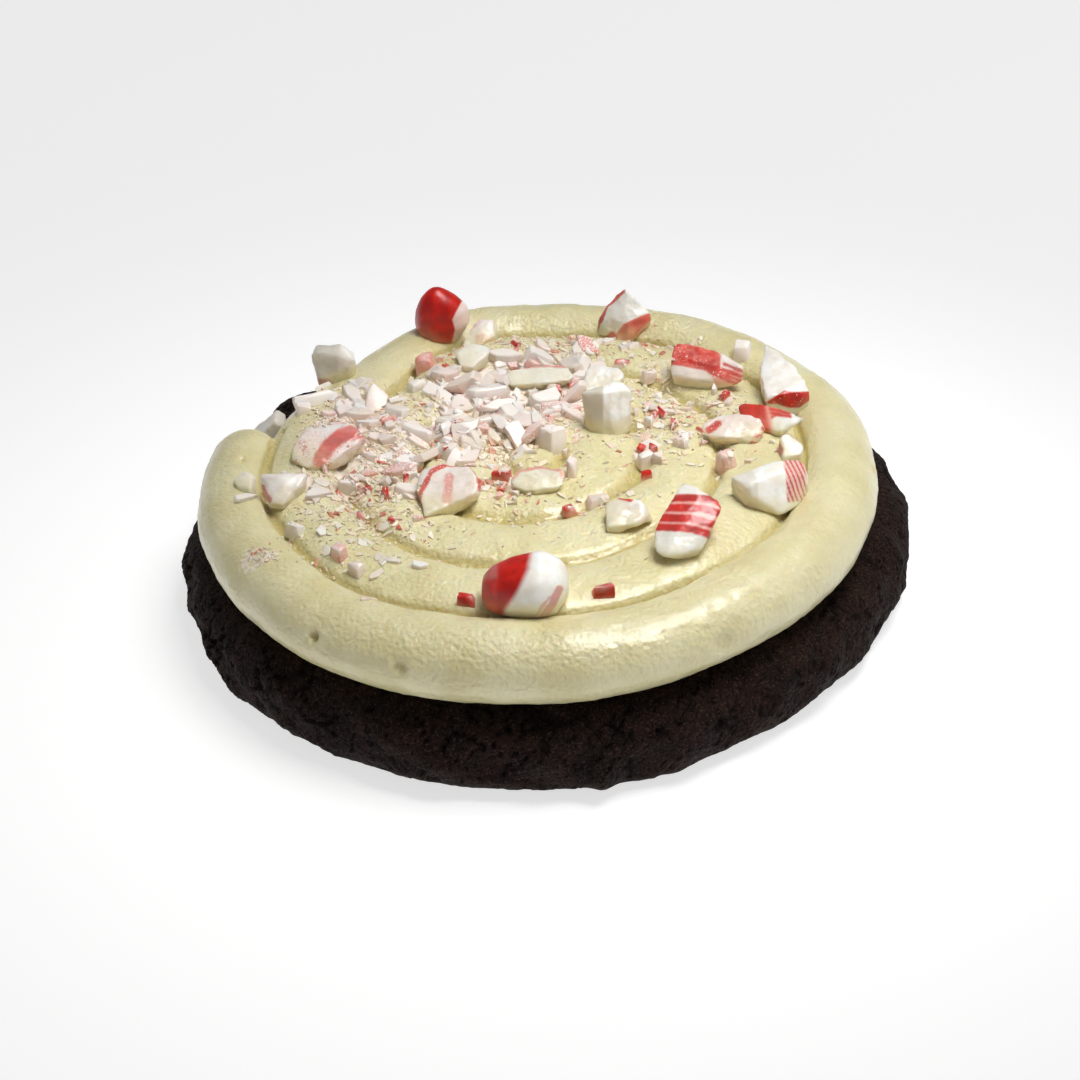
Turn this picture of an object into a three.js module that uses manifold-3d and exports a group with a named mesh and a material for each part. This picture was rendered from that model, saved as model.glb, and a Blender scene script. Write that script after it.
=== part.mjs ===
// A peppermint frosted cookie: a thick, dark chocolate biscuit, a swirl of cream frosting piped
// on it as one rope from the middle out, and broken red and white candy cane scattered on top.
// Millimetres, +Z up. The origin is the middle of the biscuit's flat underside.

import * as THREE from "three";
import { LoftGeometry } from "three/addons/geometries/LoftGeometry.js";
import { ConvexGeometry } from "three/addons/geometries/ConvexGeometry.js";
import { mergeVertices } from "three/addons/utils/BufferGeometryUtils.js";
import Module from "manifold-3d";

// Driving dimensions

const BISCUIT_RADIUS = 44.9;
const BISCUIT_TOP = 10.4; // height of the flat that carries the frosting
const UNDER_EDGE = [3.2, 3.8]; // reach and height of the rounded lower edge
const SHOULDER = [6.0, 5.6]; // reach and height of the rounded upper edge
const RIM_STEPS = 120;
const EDGE_STEPS = 4;

const TOPPING_X = -0.6; // the frosting and the candy sit a little to the left
const SWIRL_X = -0.5;
const SWIRL_Y = -2.2;
const SWIRL_START_DEG = 97; // where every turn steps in to the next one
const STEP_SHARE = 0.13; // share of a turn that the step takes
const DRIFT = 2.6; // how much further a turn still winds in after its step
const TAIL_DEG = 164 - 360; // the outer turn runs clockwise from its start to this end
const TAIL_ROUND = 4.5; // length of the blunt end
const TURN_RADII = [36.15, 26.2, 17, 7.8]; // centre lines, from the outer turn in
const TURN_HALF_WIDTHS = [4.7, 6.2, 6.8, 7.2];
const TURN_CRESTS = [19.0, 18.5, 18.0, 17.7];
const FOOT = BISCUIT_TOP + 0.05; // height of the frosting's underside, a hair over the biscuit
const ROPE_MIDDLE = 14.7; // height at which the rope is widest
const ROPE_PRESS = 1.06; // above 1 the rope is pressed flat where it lies on the biscuit
const ROPE_POINTS = 14;
const DOME_CREST = 17.5;
const ROPE_STEP_MM = 5;
const DOME_RADIUS = 7.5;
const CORE_RADIUS = 35;
const CORE_TOP = 14.8;

const CANDY_GAP = 0.25; // clearance between a candy piece and the frosting it is set into
const ROUND_POINTS = 10; // corners round a ring or a section of a round candy piece
const CANDY_COVER = 0.8; // share of a candy piece's plan box that crumbs keep off
const RED = "#b3201c";
const PINK = "#dd9c98";
const WHITE = "#efebe4";

// The larger candy pieces. at is the plan position. top holds the corners of a piece's upper side,
// from at: to the right, away from the front, and up from the frosting's surface. foot holds the
// corners of its underside, which lies sink below that surface. rings and sections are for the two
// round pieces and are explained at candyCorners.
const CANDY = [
  { name: "tall_red_cap", colour: RED, at: [-11.9, 28.8],
    rings: [[-1.2, 2.6, 2.3, -0.4], [1.2, 3.7, 2.8, 0], [3.4, 3.5, 2.6, 0.1],
      [5, 2.4, 2, -0.2], [6, 1.3, 1.2, -0.4], [6.5, 0.5, 0.5, -0.4]] },
  { name: "pale_chip", colour: PINK, at: [-5.6, 27.6], sink: 0.6,
    top: [[-2, 0.2, 2.6], [-0.9, 0.9, 3], [1.1, 0.4, 3], [1, -2.1, 1.6], [-1.3, -3.5, 0.8],
      [-3.9, -3.5, 0.7]],
    foot: [[-1.7, 0.5], [1, 0.5], [0.9, -1.6], [-1.2, -2.9], [-3.2, -2.9]] },
  { name: "white_chip", colour: WHITE, at: [-8.2, 20.6], sink: 0.6,
    top: [[-1.9, -0.1, 1.3], [-0.6, 1.2, 1.8], [1.4, 1.2, 1.8], [2.7, -0.5, 1.6],
      [2.4, -2.4, 0.9], [1, -3, 0.6], [-1.3, -2.5, 0.6]],
    foot: [[-1.6, 0.2], [1.6, 0.8], [2.2, -1.6], [0.4, -2.6], [-1.2, -2.2]] },
  { name: "pointed_tooth", colour: WHITE, at: [12.6, 27.4], sink: 0.7,
    top: [[-3.4, 1.1, 1.8], [-2.3, 1.3, 3.6], [0.2, 1.2, 6.1], [2.2, 0.3, 4.3], [3.4, -0.5, 3],
      [3.6, -0.9, 1.4], [0.3, -1.4, 2.2], [0.4, 2.4, 4]],
    foot: [[-3.6, 1.2], [-1.7, -0.6], [0.6, -1.7], [2.7, -1.7], [3.4, -0.4], [2.4, 2.4],
      [-2.2, 3.2]] },
  { name: "grey_cube", colour: WHITE, at: [-25.7, 18.8], sink: 0.8,
    top: [[-2.9, -0.9, 4.8], [-2.4, 1.6, 4.4], [1, 0.6, 4.9], [1.6, -0.4, 4.8], [2.7, -1.4, 3.4],
      [2.4, 1.4, 3]],
    foot: [[-2.2, -1.2], [-1.4, -1.6], [1.4, -1.2], [2.4, 0.4], [1.6, 2], [-2, 1.8]] },
  { name: "notch_chip", colour: WHITE, at: [-34.9, 13], sink: -0.2,
    top: [[-2.5, -1.6, 2.4], [-2.5, 1.6, 2.4], [1.5, -1.6, 5.8], [1.5, 1.2, 5.8],
      [2.6, -1.6, 5], [2.6, 1.2, 5]],
    foot: [[-2.4, -2], [2.4, -2], [2.4, 2], [-2.4, 2]] },
  { name: "lens_slab", colour: WHITE, at: [0.2, 12.9], sink: 0.5,
    top: [[-3.8, 0.7, 1.2], [-3, 1.7, 1.8], [0, 2.6, 2.2], [3.2, 2.2, 2.2], [4.9, 0.9, 2],
      [4.3, -0.4, 1.4], [1.8, -0.6, 1.2], [-0.5, -0.6, 1.1], [-2.9, -0.2, 1]],
    foot: [[-2.4, 0.6], [0, 1.8], [3, 1.6], [3.8, 0.5], [0, 0.3]] },
  { name: "white_slab", colour: WHITE, at: [8.9, 12.9], sink: 0.5,
    top: [[-2.3, 0.2, 2.2], [-0.4, 0.9, 2.4], [2.5, -0.2, 2.4], [2.3, -2, 1.8],
      [0.9, -2.8, 1.2], [-0.6, -2.8, 1], [-2.3, -3.1, 0.9], [-2.9, -1.8, 1]],
    foot: [[-2.1, 0], [2, -0.1], [2, -1.8], [0.4, -2.4], [-2.1, -2.6]] },
  { name: "upright_block", colour: WHITE, at: [8.7, 2.7], sink: 0.8,
    top: [[-3, 0.6, 4.9], [-0.7, -0.4, 5.2], [1.7, 1.2, 5.7], [3, 0.2, 4.8], [1, 2.8, 4.6]],
    foot: [[-2.9, 0.5], [-0.8, -1.3], [1.2, -2.1], [3, 0.2], [1.4, 2.6], [-1.4, 2.4]] },
  { name: "smeared_slab", colour: RED, at: [22.8, 13.2], sink: 0.6,
    top: [[-5.4, 1, 1.6], [-3.6, 1.9, 3.4], [-1, 1.6, 3.7], [1.6, -0.8, 3.6], [3.4, -3.9, 3.2],
      [3.2, -5.3, 1.6], [0, -3.9, 1.4], [-3, -1.5, 1.2]],
    foot: [[-4.8, 0.8], [-2.6, 1.6], [1.2, -0.6], [3, -3.6], [2.6, -4.8], [0, -3.4],
      [-2.8, -1.2]] },
  { name: "white_wedge", colour: WHITE, at: [31, 9.8], sink: 0.8,
    top: [[-1.6, 3, 4.1], [-0.4, 0.8, 4.2], [1.8, -4.4, 3.6], [2.6, -6.5, 2.3],
      [0.1, -6.7, 2.1], [-1.4, -6, 2.3], [-2.7, -6.4, 2.1], [-3, -2.2, 3.1],
      [0.3, -7.3, 0.9], [-2.4, -6.4, 0.9], [2.4, -6.2, 1]],
    foot: [[-2.2, -5.6], [0.4, -6.6], [2, -5.6], [1, -2], [-0.6, 1.6], [-1.6, 1.6],
      [-2.4, -2.4]] },
  { name: "red_curved_chip", colour: RED, at: [28.6, 0.1], sink: 0.5,
    top: [[-4.2, 1.5, 0.9], [-3.2, 1.6, 1.8], [-1.8, 1.2, 2.2], [0.2, 0.1, 2.4],
      [1.9, -1.3, 2.1], [3.4, -3.7, 1.1], [2.4, -3.8, 0.7], [0.5, -2.4, 0.8],
      [-1, -0.8, 0.9], [-2.7, 0.2, 0.7]],
    foot: [[-3.4, 1.2], [-1.6, 1], [1.6, -1.2], [2.8, -3.2], [0.2, -1.6], [-2.4, 0.4]] },
  { name: "pink_end_piece", colour: PINK, at: [23.3, -3.2], sink: 0.5,
    top: [[-3.5, 2, 1.9], [-1.9, 2.2, 2.3], [0.8, 1.5, 2.7], [2.1, 0.5, 2.5], [3.9, -1.4, 1],
      [2.1, -1.7, 0.6], [0.1, -1.2, 1.1], [-1.9, -0.9, 1.1], [-3.4, 0.2, 0.8]],
    foot: [[-3, 1.6], [0.8, 1], [2.8, -0.8], [1.8, -1.2], [-2.8, 0.4]] },
  { name: "small_white_piece", colour: WHITE, at: [29.8, -7.4], sink: 0.6,
    top: [[-0.9, 1.5, 2.2], [0.2, 2.1, 2.4], [1.2, 1.8, 2.2], [1.3, 0.3, 1.5], [-1.6, 0.9, 0.8],
      [0.8, -0.9, 1], [-1.2, -0.6, 1]],
    foot: [[-1.5, 0.6], [-1.3, -1.1], [0.6, -1.3], [1.2, 0], [0.8, 1.6], [-0.8, 1.6]] },
  { name: "striped_block", colour: WHITE, at: [26.5, -15.6], sink: 0.4,
    top: [[-5, 0.1, 2.6], [0.1, 1.4, 3.6], [3.4, 2, 3.8], [-3, -2.3, 2.8], [-2.2, -1.7, 3.3],
      [1.2, -0.2, 3.6], [3.3, 0.9, 3.7], [3.9, 0.2, 0.6]],
    foot: [[-4.3, 0.4], [-3, -3.5], [0.1, -3.2], [2.6, -1.5], [3.6, 0.2], [3, 1.6],
      [-0.2, 1.1]] },
  { name: "striped_slab", colour: RED, at: [15.8, -23.8], sink: 0.5,
    top: [[-0.4, 4.2, 4.5], [1.6, 3.6, 4.7], [3.6, 0.9, 4.1], [2.2, -1.6, 2.9], [1, -3.4, 0.9],
      [-0.9, -4.1, 1], [-2.7, -4.4, 0.9], [-3.9, -3.3, 0.9], [-3.7, -1, 2.3],
      [-1.9, 1.6, 3.7], [0.8, 1.6, 4.7], [-0.8, -1.6, 3.1]],
    foot: [[-0.2, 3], [1.3, 2.8], [1.8, 0.6], [0.6, -2.6], [-1, -3.2], [-3, -2.6],
      [-2.6, 0]] },
  { name: "pointed_shard", colour: WHITE, at: [9.6, -18.8], sink: 0.5,
    top: [[-2.6, 1.3, 1.8], [-1.4, 1.6, 2.2], [0.2, 0.7, 2.4], [2.7, -1.8, 0.9],
      [1.2, -1.6, 0.6], [-1.1, -1.8, 0.6], [-2.6, -1.9, 0.6]],
    foot: [[-2.4, 1], [0.2, 0.6], [2, -1.4], [-0.8, -1.6], [-2.4, -1.6]] },
  { name: "round_cane_section", colour: WHITE, at: [-2.2, -33], middle: 2.4, turn: -6,
    sections: [[-4.5, 1.6, -0.7], [-3.6, 2.5, -0.5], [-1.4, 3.3, -0.2], [1.6, 3.7, 0.1],
      [3.6, 2.9, 0], [4.4, 1.6, -0.2]] },
  { name: "pink_facet", colour: PINK, at: [-11.3, -11.4], sink: 0.6,
    top: [[-2.9, -3.6, 0.9], [-3, -2.1, 1.3], [-2.1, -0.2, 2.2], [-1, 2.3, 3.2],
      [0.6, 2.9, 3.5], [3, 2, 3.5], [4.4, 0, 3], [4.2, -1.3, 2.4], [2.2, -2.1, 1.6],
      [-0.1, -3.6, 0.9], [-1.7, -4.2, 0.8]],
    foot: [[-2.6, -2.8], [-1.2, 1.6], [2.6, 1.4], [3.4, -0.2], [1.6, -1.8], [-1.2, -3.4]] },
  { name: "powdery_block", colour: PINK, at: [-25.7, -1], sink: 0.6,
    top: [[-3.8, -0.7, 2], [-2.9, 1.3, 2.8], [-1.1, 1.9, 3.2], [2, 1.3, 3.4], [5, 0.8, 2.6],
      [1.8, -2.6, 1.8], [0.2, -3.7, 0.9], [-2.1, -4, 0.8], [-3.8, -2.3, 1]],
    foot: [[-3.2, -0.8], [-1.2, 1.6], [2, 1.2], [4, 0.6], [1.2, -2.4], [-1.6, -3.6],
      [-3.2, -2]] },
  { name: "jagged_white_piece", colour: WHITE, at: [-28.2, -10.8], sink: 0.6,
    top: [[-4.3, 1.8, 2.6], [-3.8, 0.7, 1.9], [-1.2, 0.6, 2.6], [1.3, 1.5, 2.6], [0.6, 0.5, 2],
      [-1.2, -2, 0.5], [-2.6, -1.3, 0.6]],
    foot: [[-3.2, 0.9], [0.4, 1], [-1.3, -1.8], [-2.5, -1.2]] },
  { name: "rim_chip", colour: WHITE, at: [-34.4, -7.4], sink: 0.4,
    top: [[-1.4, -0.4, 0.9], [-0.7, 0.2, 1.4], [0.7, 0.5, 1.6], [1.2, -1, 1.4], [1, -1.9, 0.7],
      [0.5, -2.5, 0.5], [-0.9, -1.2, 0.6]],
    foot: [[-1.1, -0.5], [0.7, 0.2], [0.9, -1.2], [0.4, -2.1], [-0.8, -1.1]] },
  { name: "curved_chip", colour: WHITE, at: [0.2, -9.6], sink: 0.5,
    top: [[-3.6, -0.1, 1.4], [-3.1, 0.9, 1.8], [-0.7, 1.3, 2], [1.6, 0.4, 2], [2.7, -0.6, 1.6],
      [2, -1.5, 1.1], [0.3, -2, 0.8], [-2.1, -2.2, 0.8], [-3.4, -1.2, 0.9]],
    foot: [[-3.2, 0], [-0.8, 0.9], [1.6, 0.1], [1.8, -1.2], [-1.8, -1.8], [-3, -1]] },
];

// The smaller fragments that can be told apart: plan position, length, width, height, turn.
const FRAGMENTS = [
  [-14.2, 20.6, 3.4, 3, 3.4, 80],
  [22, -8.2, 2.8, 2.8, 2.5, 20],
  [27.2, 17.4, 3, 2.4, 2.6, -20],
  [6.6, -13.6, 3.6, 2.6, 1.6, 10],
  [-4.5, -7, 3.2, 1.6, 1.4, -8],
  [1.6, 1, 4.4, 3.4, 3, -50],
  [3.8, -7.6, 1.5, 3, 3, -10],
  [3, -14.8, 2.2, 1.8, 1.2, 30],
  [6, -32, 3.4, 1.8, 1.6, 3],
  [-8.6, -32, 2.4, 1.4, 1.3, -12],
  [14.6, 3.6, 2.8, 1.1, 1.2, 55],
  [16.6, 1, 3, 1.1, 1.2, 85],
  [12.3, -3, 1.9, 1.2, 1.2, 65],
  [12.4, -9.4, 1.8, 1.2, 1.1, 5],
  [12.6, -5.6, 2.8, 2, 1.7, 25],
  [-20.6, -9.2, 2.6, 1, 1.1, -8],
  [-18, -10.6, 2.8, 1, 1.1, -80],
  [-20.8, -14.6, 1.8, 1, 1.1, -70],
  [-22.6, -22.6, 2.6, 1.8, 2, -50],
  [-20.6, -25.4, 2.4, 1.7, 1.5, -40],
  [-28, -17, 2.9, 1.7, 1.7, -35],
  [-2.2, 23.6, 2.6, 1.1, 1.2, -60],
  [11.6, 17.6, 2.8, 1.2, 1.2, -5],
  [-22.4, 8.2, 2, 1.6, 1.3, 10],
  [-22.6, -7.6, 3.4, 2, 1.7, -5],
  [23.6, 6.6, 2.2, 1.1, 1.1, 50],
  [17.4, -3, 2.6, 2, 1.5, 80],
  [-20.4, 13, 3.8, 2.4, 1.7, 4],
  [-15, 14.6, 3, 2, 1.6, 30],
  [-29.2, 9.6, 2.6, 2, 1.5, 10],
  [-10.6, 3.2, 5.2, 2.2, 1.7, 8],
  [-4.6, 8.6, 3.6, 3, 1.6, 20],
  [-11, -1.6, 3.4, 2.6, 1.6, -30],
  [-15.4, -6.6, 3, 1.8, 1.5, 5],
  [15, 14.4, 2.6, 1.8, 1.5, 15],
  [0, 20, 4, 2.6, 1.7, 10],
];

// Where the crumbs lie: middle and spread of each patch, how many, smallest and largest length.
const SCATTER = [
  { x: -4, y: 12, spreadX: 13, spreadY: 11, count: 40, small: 1.3, large: 3.2 },
  { x: -21, y: -2, spreadX: 10, spreadY: 10, count: 22, small: 1.2, large: 2.6 },
  { x: -7, y: -9, spreadX: 12, spreadY: 9, count: 16, small: 1.1, large: 2.4 },
  { x: 18, y: 3, spreadX: 13, spreadY: 13, count: 16, small: 1.1, large: 2.4 },
];
const SCATTER_SEED = 2027;
const CRUMB_REACH = 31; // no crumb lies further than this from the swirl's middle

const wasm = await Module();
wasm.setup();

// Joining and cutting

function toSolid(geometry) {
  const bare = new THREE.BufferGeometry().copy(geometry);
  bare.deleteAttribute("normal");
  bare.deleteAttribute("uv");
  const merged = mergeVertices(bare, 1e-3);
  return new wasm.Manifold(new wasm.Mesh({
    numProp: 3,
    vertProperties: new Float32Array(merged.attributes.position.array),
    triVerts: new Uint32Array(merged.index.array),
  }));
}

function toGeometry(solid) {
  const mesh = solid.getMesh();
  const geometry = new THREE.BufferGeometry();
  const corners = new Float32Array(mesh.numVert * 3);
  for (let i = 0; i < mesh.numVert; i++) {
    corners.set(mesh.vertProperties.subarray(i * mesh.numProp, i * mesh.numProp + 3), i * 3);
  }
  geometry.setAttribute("position", new THREE.BufferAttribute(corners, 3));
  geometry.setIndex(new THREE.BufferAttribute(mesh.triVerts, 1));
  geometry.computeVertexNormals();
  return geometry;
}

// Joins neighbours two by two, which keeps each join small.
function joinAll(solids) {
  let row = solids;
  while (row.length > 1) {
    const next = [];
    for (let i = 0; i < row.length; i += 2) {
      next.push(i + 1 < row.length ? row[i].add(row[i + 1]) : row[i]);
    }
    row = next;
  }
  return row[0];
}

function largestBody(solid) {
  return solid.decompose().reduce((best, body) => (body.volume() > best.volume() ? body : best));
}

function mix(a, b, share) {
  return a + (b - a) * share;
}

function smooth(share) {
  const t = Math.min(Math.max(share, 0), 1);
  return t * t * (3 - 2 * t);
}

// The same small generator of even draws from 0 to 1 for everything that is scattered.
function drawer(seed) {
  let state = seed >>> 0;
  return () => {
    state = (Math.imul(state, 1664525) + 1013904223) >>> 0;
    return state / 4294967296;
  };
}

// The biscuit

function bump(angle, centreDeg, widthDeg, height) {
  const away = THREE.MathUtils.euclideanModulo(angle - THREE.MathUtils.degToRad(centreDeg)
    + Math.PI, 2 * Math.PI) - Math.PI;
  return height * Math.exp(-((away / THREE.MathUtils.degToRad(widthDeg)) ** 2));
}

// Hand-pressed dough: nearly round, with a flatter front right, a corner at the back right, a
// knob at the back left and three small crags along the front.
function rimRadius(angle) {
  return BISCUIT_RADIUS + 0.14 * Math.sin(3 * angle + 0.6) + 0.12 * Math.sin(5 * angle + 2.1)
    + 0.1 * Math.sin(11 * angle + 4)
    + bump(angle, 0, 11, 0.6) + bump(angle, 9, 3, 0.4) + bump(angle, 140, 4.5, 2.2)
    + bump(angle, -63, 5, -0.6) + bump(angle, -44, 5, -0.5)
    + bump(angle, -84, 1.6, 0.8) + bump(angle, -73, 2, 0.4) + bump(angle, -18, 2, 0.3);
}

// Baked surface relief: fades to nothing on the flat underside and the flat top.
function crag(angle, height) {
  const share = height / BISCUIT_TOP;
  const fade = 4 * share * (1 - share);
  return fade * (0.22 * Math.sin(17 * angle + 5 * share) + 0.16 * Math.sin(31 * angle - 9 * share)
    + 0.14 * Math.sin(23 * angle + 14 * share));
}

function biscuitRing(inset, height) {
  const ring = [];
  for (let i = 0; i < RIM_STEPS; i++) {
    const angle = (i / RIM_STEPS) * 2 * Math.PI;
    const radius = rimRadius(angle) - inset + crag(angle, height);
    ring.push(new THREE.Vector3(radius * Math.cos(angle), radius * Math.sin(angle), height));
  }
  return ring;
}

function biscuitGeometry() {
  const rings = [];
  for (let i = 0; i <= EDGE_STEPS; i++) {
    const q = (i / EDGE_STEPS) * (Math.PI / 2);
    rings.push(biscuitRing(UNDER_EDGE[0] * (1 - Math.sin(q)), UNDER_EDGE[1] * (1 - Math.cos(q))));
  }
  for (let i = 0; i <= EDGE_STEPS + 1; i++) {
    const q = (i / (EDGE_STEPS + 1)) * (Math.PI / 2);
    rings.push(biscuitRing(SHOULDER[0] * (1 - Math.cos(q)),
      BISCUIT_TOP - SHOULDER[1] * (1 - Math.sin(q))));
  }
  const geometry = new LoftGeometry(rings, { capStart: true, capEnd: true });
  geometry.computeBoundingBox();
  const middle = geometry.boundingBox.getCenter(new THREE.Vector3());
  return geometry.translate(-middle.x, -middle.y, 0);
}

// The frosting rope. Its place is counted in turns: 0 at the start of the outer turn, negative
// along the outer turn to its tail, positive inwards.

const TAIL_TURN = (TAIL_DEG - SWIRL_START_DEG) / -360;
const LAST_TURN = 3.2;

function turnValue(list, turn) {
  if (turn < 0) return list[0];
  const whole = Math.min(Math.floor(turn), list.length - 2);
  return mix(list[whole], list[whole + 1], smooth((turn - whole) / STEP_SHARE));
}

function ropeAngle(turn) {
  return THREE.MathUtils.degToRad(SWIRL_START_DEG + 360 * turn);
}

function ropeRadius(turn) {
  const angle = ropeAngle(turn);
  const share = turn - Math.floor(turn);
  const drift = turn < 0 ? 0 : DRIFT * smooth(share / STEP_SHARE) * (1 - share);
  return turnValue(TURN_RADII, turn) + drift + 0.2 * Math.sin(3 * angle + 1)
    + 0.12 * Math.sin(8 * angle);
}

function ropeCrest(turn) {
  const angle = ropeAngle(turn);
  return turnValue(TURN_CRESTS, turn) + 0.16 * Math.sin(2 * angle + 2)
    + 0.1 * Math.sin(7 * angle + 1);
}

// How full the rope is: 1 along its length, falling to a blunt round end at the tail.
function ropeFullness(turn) {
  const fromTail = (turn + TAIL_TURN) * 2 * Math.PI * TURN_RADII[0];
  if (fromTail >= TAIL_ROUND) return 1;
  const short = 1 - Math.max(fromTail, 0) / TAIL_ROUND;
  return Math.sqrt(Math.max(1 - short ** 2.4, 0.06));
}

function ropeSection(turn) {
  const angle = ropeAngle(turn);
  const fullness = ropeFullness(turn);
  const halfWidth = turnValue(TURN_HALF_WIDTHS, turn) * fullness;
  const middle = mix(FOOT, ROPE_MIDDLE, fullness);
  const crest = mix(FOOT, ropeCrest(turn), mix(0.3, 1, fullness));
  const section = [];
  for (let i = 0; i < ROPE_POINTS; i++) {
    const q = ((i + 0.5) / ROPE_POINTS) * 2 * Math.PI;
    const reach = ropeRadius(turn) - halfWidth * Math.cos(q);
    const height = Math.sin(q) > 0
      ? middle + (crest - middle) * Math.sin(q)
      : Math.max(middle + (middle - FOOT) * ROPE_PRESS * Math.sin(q), FOOT);
    section.push(new THREE.Vector3(SWIRL_X + reach * Math.cos(angle),
      SWIRL_Y + reach * Math.sin(angle), height));
  }
  return section;
}

function ropeGeometry(from, to) {
  const radius = turnValue(TURN_RADII, Math.max(from, 0));
  const steps = Math.max(6, Math.round(((to - from) * 2 * Math.PI * radius) / ROPE_STEP_MM));
  const sections = [];
  for (let i = 0; i <= steps; i++) sections.push(ropeSection(mix(from, to, i / steps)));
  return new LoftGeometry(sections, { capStart: true, capEnd: true });
}

// The blunt end is a loft of its own with close sections.
function tailGeometry() {
  const length = TAIL_ROUND / (2 * Math.PI * TURN_RADII[0]);
  const sections = [];
  for (let i = 0; i <= 6; i++) {
    const share = 1 - Math.cos((i / 6) * (Math.PI / 2));
    sections.push(ropeSection(-TAIL_TURN + length * share));
  }
  return new LoftGeometry(sections, { capStart: true, capEnd: true });
}

// The first blob of frosting, which the rope winds out from.
function domeGeometry() {
  const profile = [new THREE.Vector2(0, FOOT)];
  for (let i = 0; i < EDGE_STEPS; i++) {
    const q = (i / EDGE_STEPS) * (Math.PI / 2);
    const height = FOOT + (DOME_CREST - FOOT) * Math.sin(q);
    profile.push(new THREE.Vector2(DOME_RADIUS * Math.cos(q), height));
  }
  profile.push(new THREE.Vector2(0, DOME_CREST));
  const dome = new THREE.LatheGeometry(profile, 20);
  dome.rotateX(Math.PI / 2);
  return dome.translate(SWIRL_X, SWIRL_Y, 0);
}

// Fills the space under the rope's turns, so that nothing hollow is left between them.
function coreGeometry() {
  const outline = new THREE.Shape();
  const steps = 72;
  for (let i = 0; i < steps; i++) {
    const turn = i / steps;
    const angle = ropeAngle(turn);
    const underTail = 360 * turn < 360 - (SWIRL_START_DEG - TAIL_DEG) + TAIL_ROUND * 2;
    const radius = underTail ? ropeRadius(turn) : CORE_RADIUS;
    const x = SWIRL_X + radius * Math.cos(angle);
    const y = SWIRL_Y + radius * Math.sin(angle);
    if (i === 0) outline.moveTo(x, y);
    else outline.lineTo(x, y);
  }
  const core = new THREE.ExtrudeGeometry(outline, {
    depth: CORE_TOP - FOOT, bevelEnabled: false,
  });
  return core.translate(0, 0, FOOT);
}

// Height of the frosting's surface over a point, or of the biscuit's where there is none.
function frostingTop(x, y) {
  const dx = x - SWIRL_X;
  const dy = y - SWIRL_Y;
  const radius = Math.hypot(dx, dy);
  const degrees = THREE.MathUtils.radToDeg(Math.atan2(dy, dx));
  const share = THREE.MathUtils.euclideanModulo(degrees - SWIRL_START_DEG, 360) / 360;
  let top = FOOT;
  for (let turn = share - 1; turn < LAST_TURN; turn++) {
    const across = (radius - ropeRadius(turn)) / turnValue(TURN_HALF_WIDTHS, turn);
    if (turn < -TAIL_TURN || Math.abs(across) >= 1) continue;
    const rise = (ropeCrest(turn) - ROPE_MIDDLE) * Math.sqrt(1 - across * across);
    top = Math.max(top, ROPE_MIDDLE + rise);
  }
  const inDome = 1 - (radius / DOME_RADIUS) ** 2;
  if (inDome > 0) {
    top = Math.max(top, FOOT + (DOME_CREST - FOOT) * Math.sqrt(inDome));
  }
  return top;
}

// The corners of one candy piece about its plan position. Most pieces are the hull of an upper side
// and an underside. A rounded cap is a stack of rings: height, half width, half depth and shift to
// the right. A section of cane lies on its side, turned by turn degrees, and is a row of circles:
// place along it, radius and rise of the circle's centre over the height middle.
function candyCorners({ top, foot, sink, rings, sections, middle, turn }) {
  if (top) {
    return [
      ...top.map(([x, y, up]) => new THREE.Vector3(x, y, up)),
      ...foot.map(([x, y]) => new THREE.Vector3(x, y, -sink)),
    ];
  }
  const corners = [];
  for (let i = 0; i < ROUND_POINTS; i++) {
    const angle = (i / ROUND_POINTS) * 2 * Math.PI;
    const c = Math.cos(angle);
    const s = Math.sin(angle);
    for (const [height, halfWidth, halfDepth, shift] of rings ?? []) {
      corners.push(new THREE.Vector3(shift + halfWidth * c, halfDepth * s, height));
    }
    for (const [along, radius, rise] of sections ?? []) {
      corners.push(new THREE.Vector3(along, radius * c, middle + rise + radius * s));
    }
  }
  const swing = THREE.MathUtils.degToRad(turn ?? 0);
  return corners.map((corner) => corner.applyAxisAngle(new THREE.Vector3(0, 0, 1), swing));
}

function candyMesh(piece) {
  const colour = new THREE.MeshStandardMaterial({
    color: piece.colour, roughness: 0.22, metalness: 0,
  });
  const mesh = new THREE.Mesh(new ConvexGeometry(candyCorners(piece)), colour);
  const [x, y] = piece.at;
  mesh.name = piece.name;
  mesh.position.set(x, y, frostingTop(x, y));
  mesh.updateMatrix();
  return mesh;
}

// The space a candy piece needs in the frosting: its hull, swept over a small cube.
function pocketGeometry(piece, mesh) {
  const swept = [];
  for (const corner of candyCorners(piece)) {
    for (let i = 0; i < 8; i++) {
      const way = new THREE.Vector3(i & 1 ? 1 : -1, i & 2 ? 1 : -1, i & 4 ? 1 : -1);
      swept.push(corner.clone().addScaledVector(way, CANDY_GAP));
    }
  }
  return new ConvexGeometry(swept).applyMatrix4(mesh.matrix);
}

// A fragment is an uneven block on a base of three or four corners, each corner drawn in by a
// share of its own.
function fragmentGeometry([x, y, long, wide, tall, turn], sides, draw) {
  const corners = [];
  for (const up of [0, 1]) {
    for (let i = 0; i < sides; i++) {
      const angle = ((i + 0.5) / sides) * 2 * Math.PI;
      const reach = mix(0.45, 0.68, draw()) * (up ? 0.75 : 1);
      const height = up ? mix(0.6, 1, draw()) : -0.25;
      corners.push(new THREE.Vector3(long * reach * Math.cos(angle),
        wide * reach * Math.sin(angle), tall * height));
    }
  }
  const geometry = new ConvexGeometry(corners);
  geometry.rotateZ(THREE.MathUtils.degToRad(turn));
  return geometry.translate(x, y, frostingTop(x, y) - 0.15 * tall);
}

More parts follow.
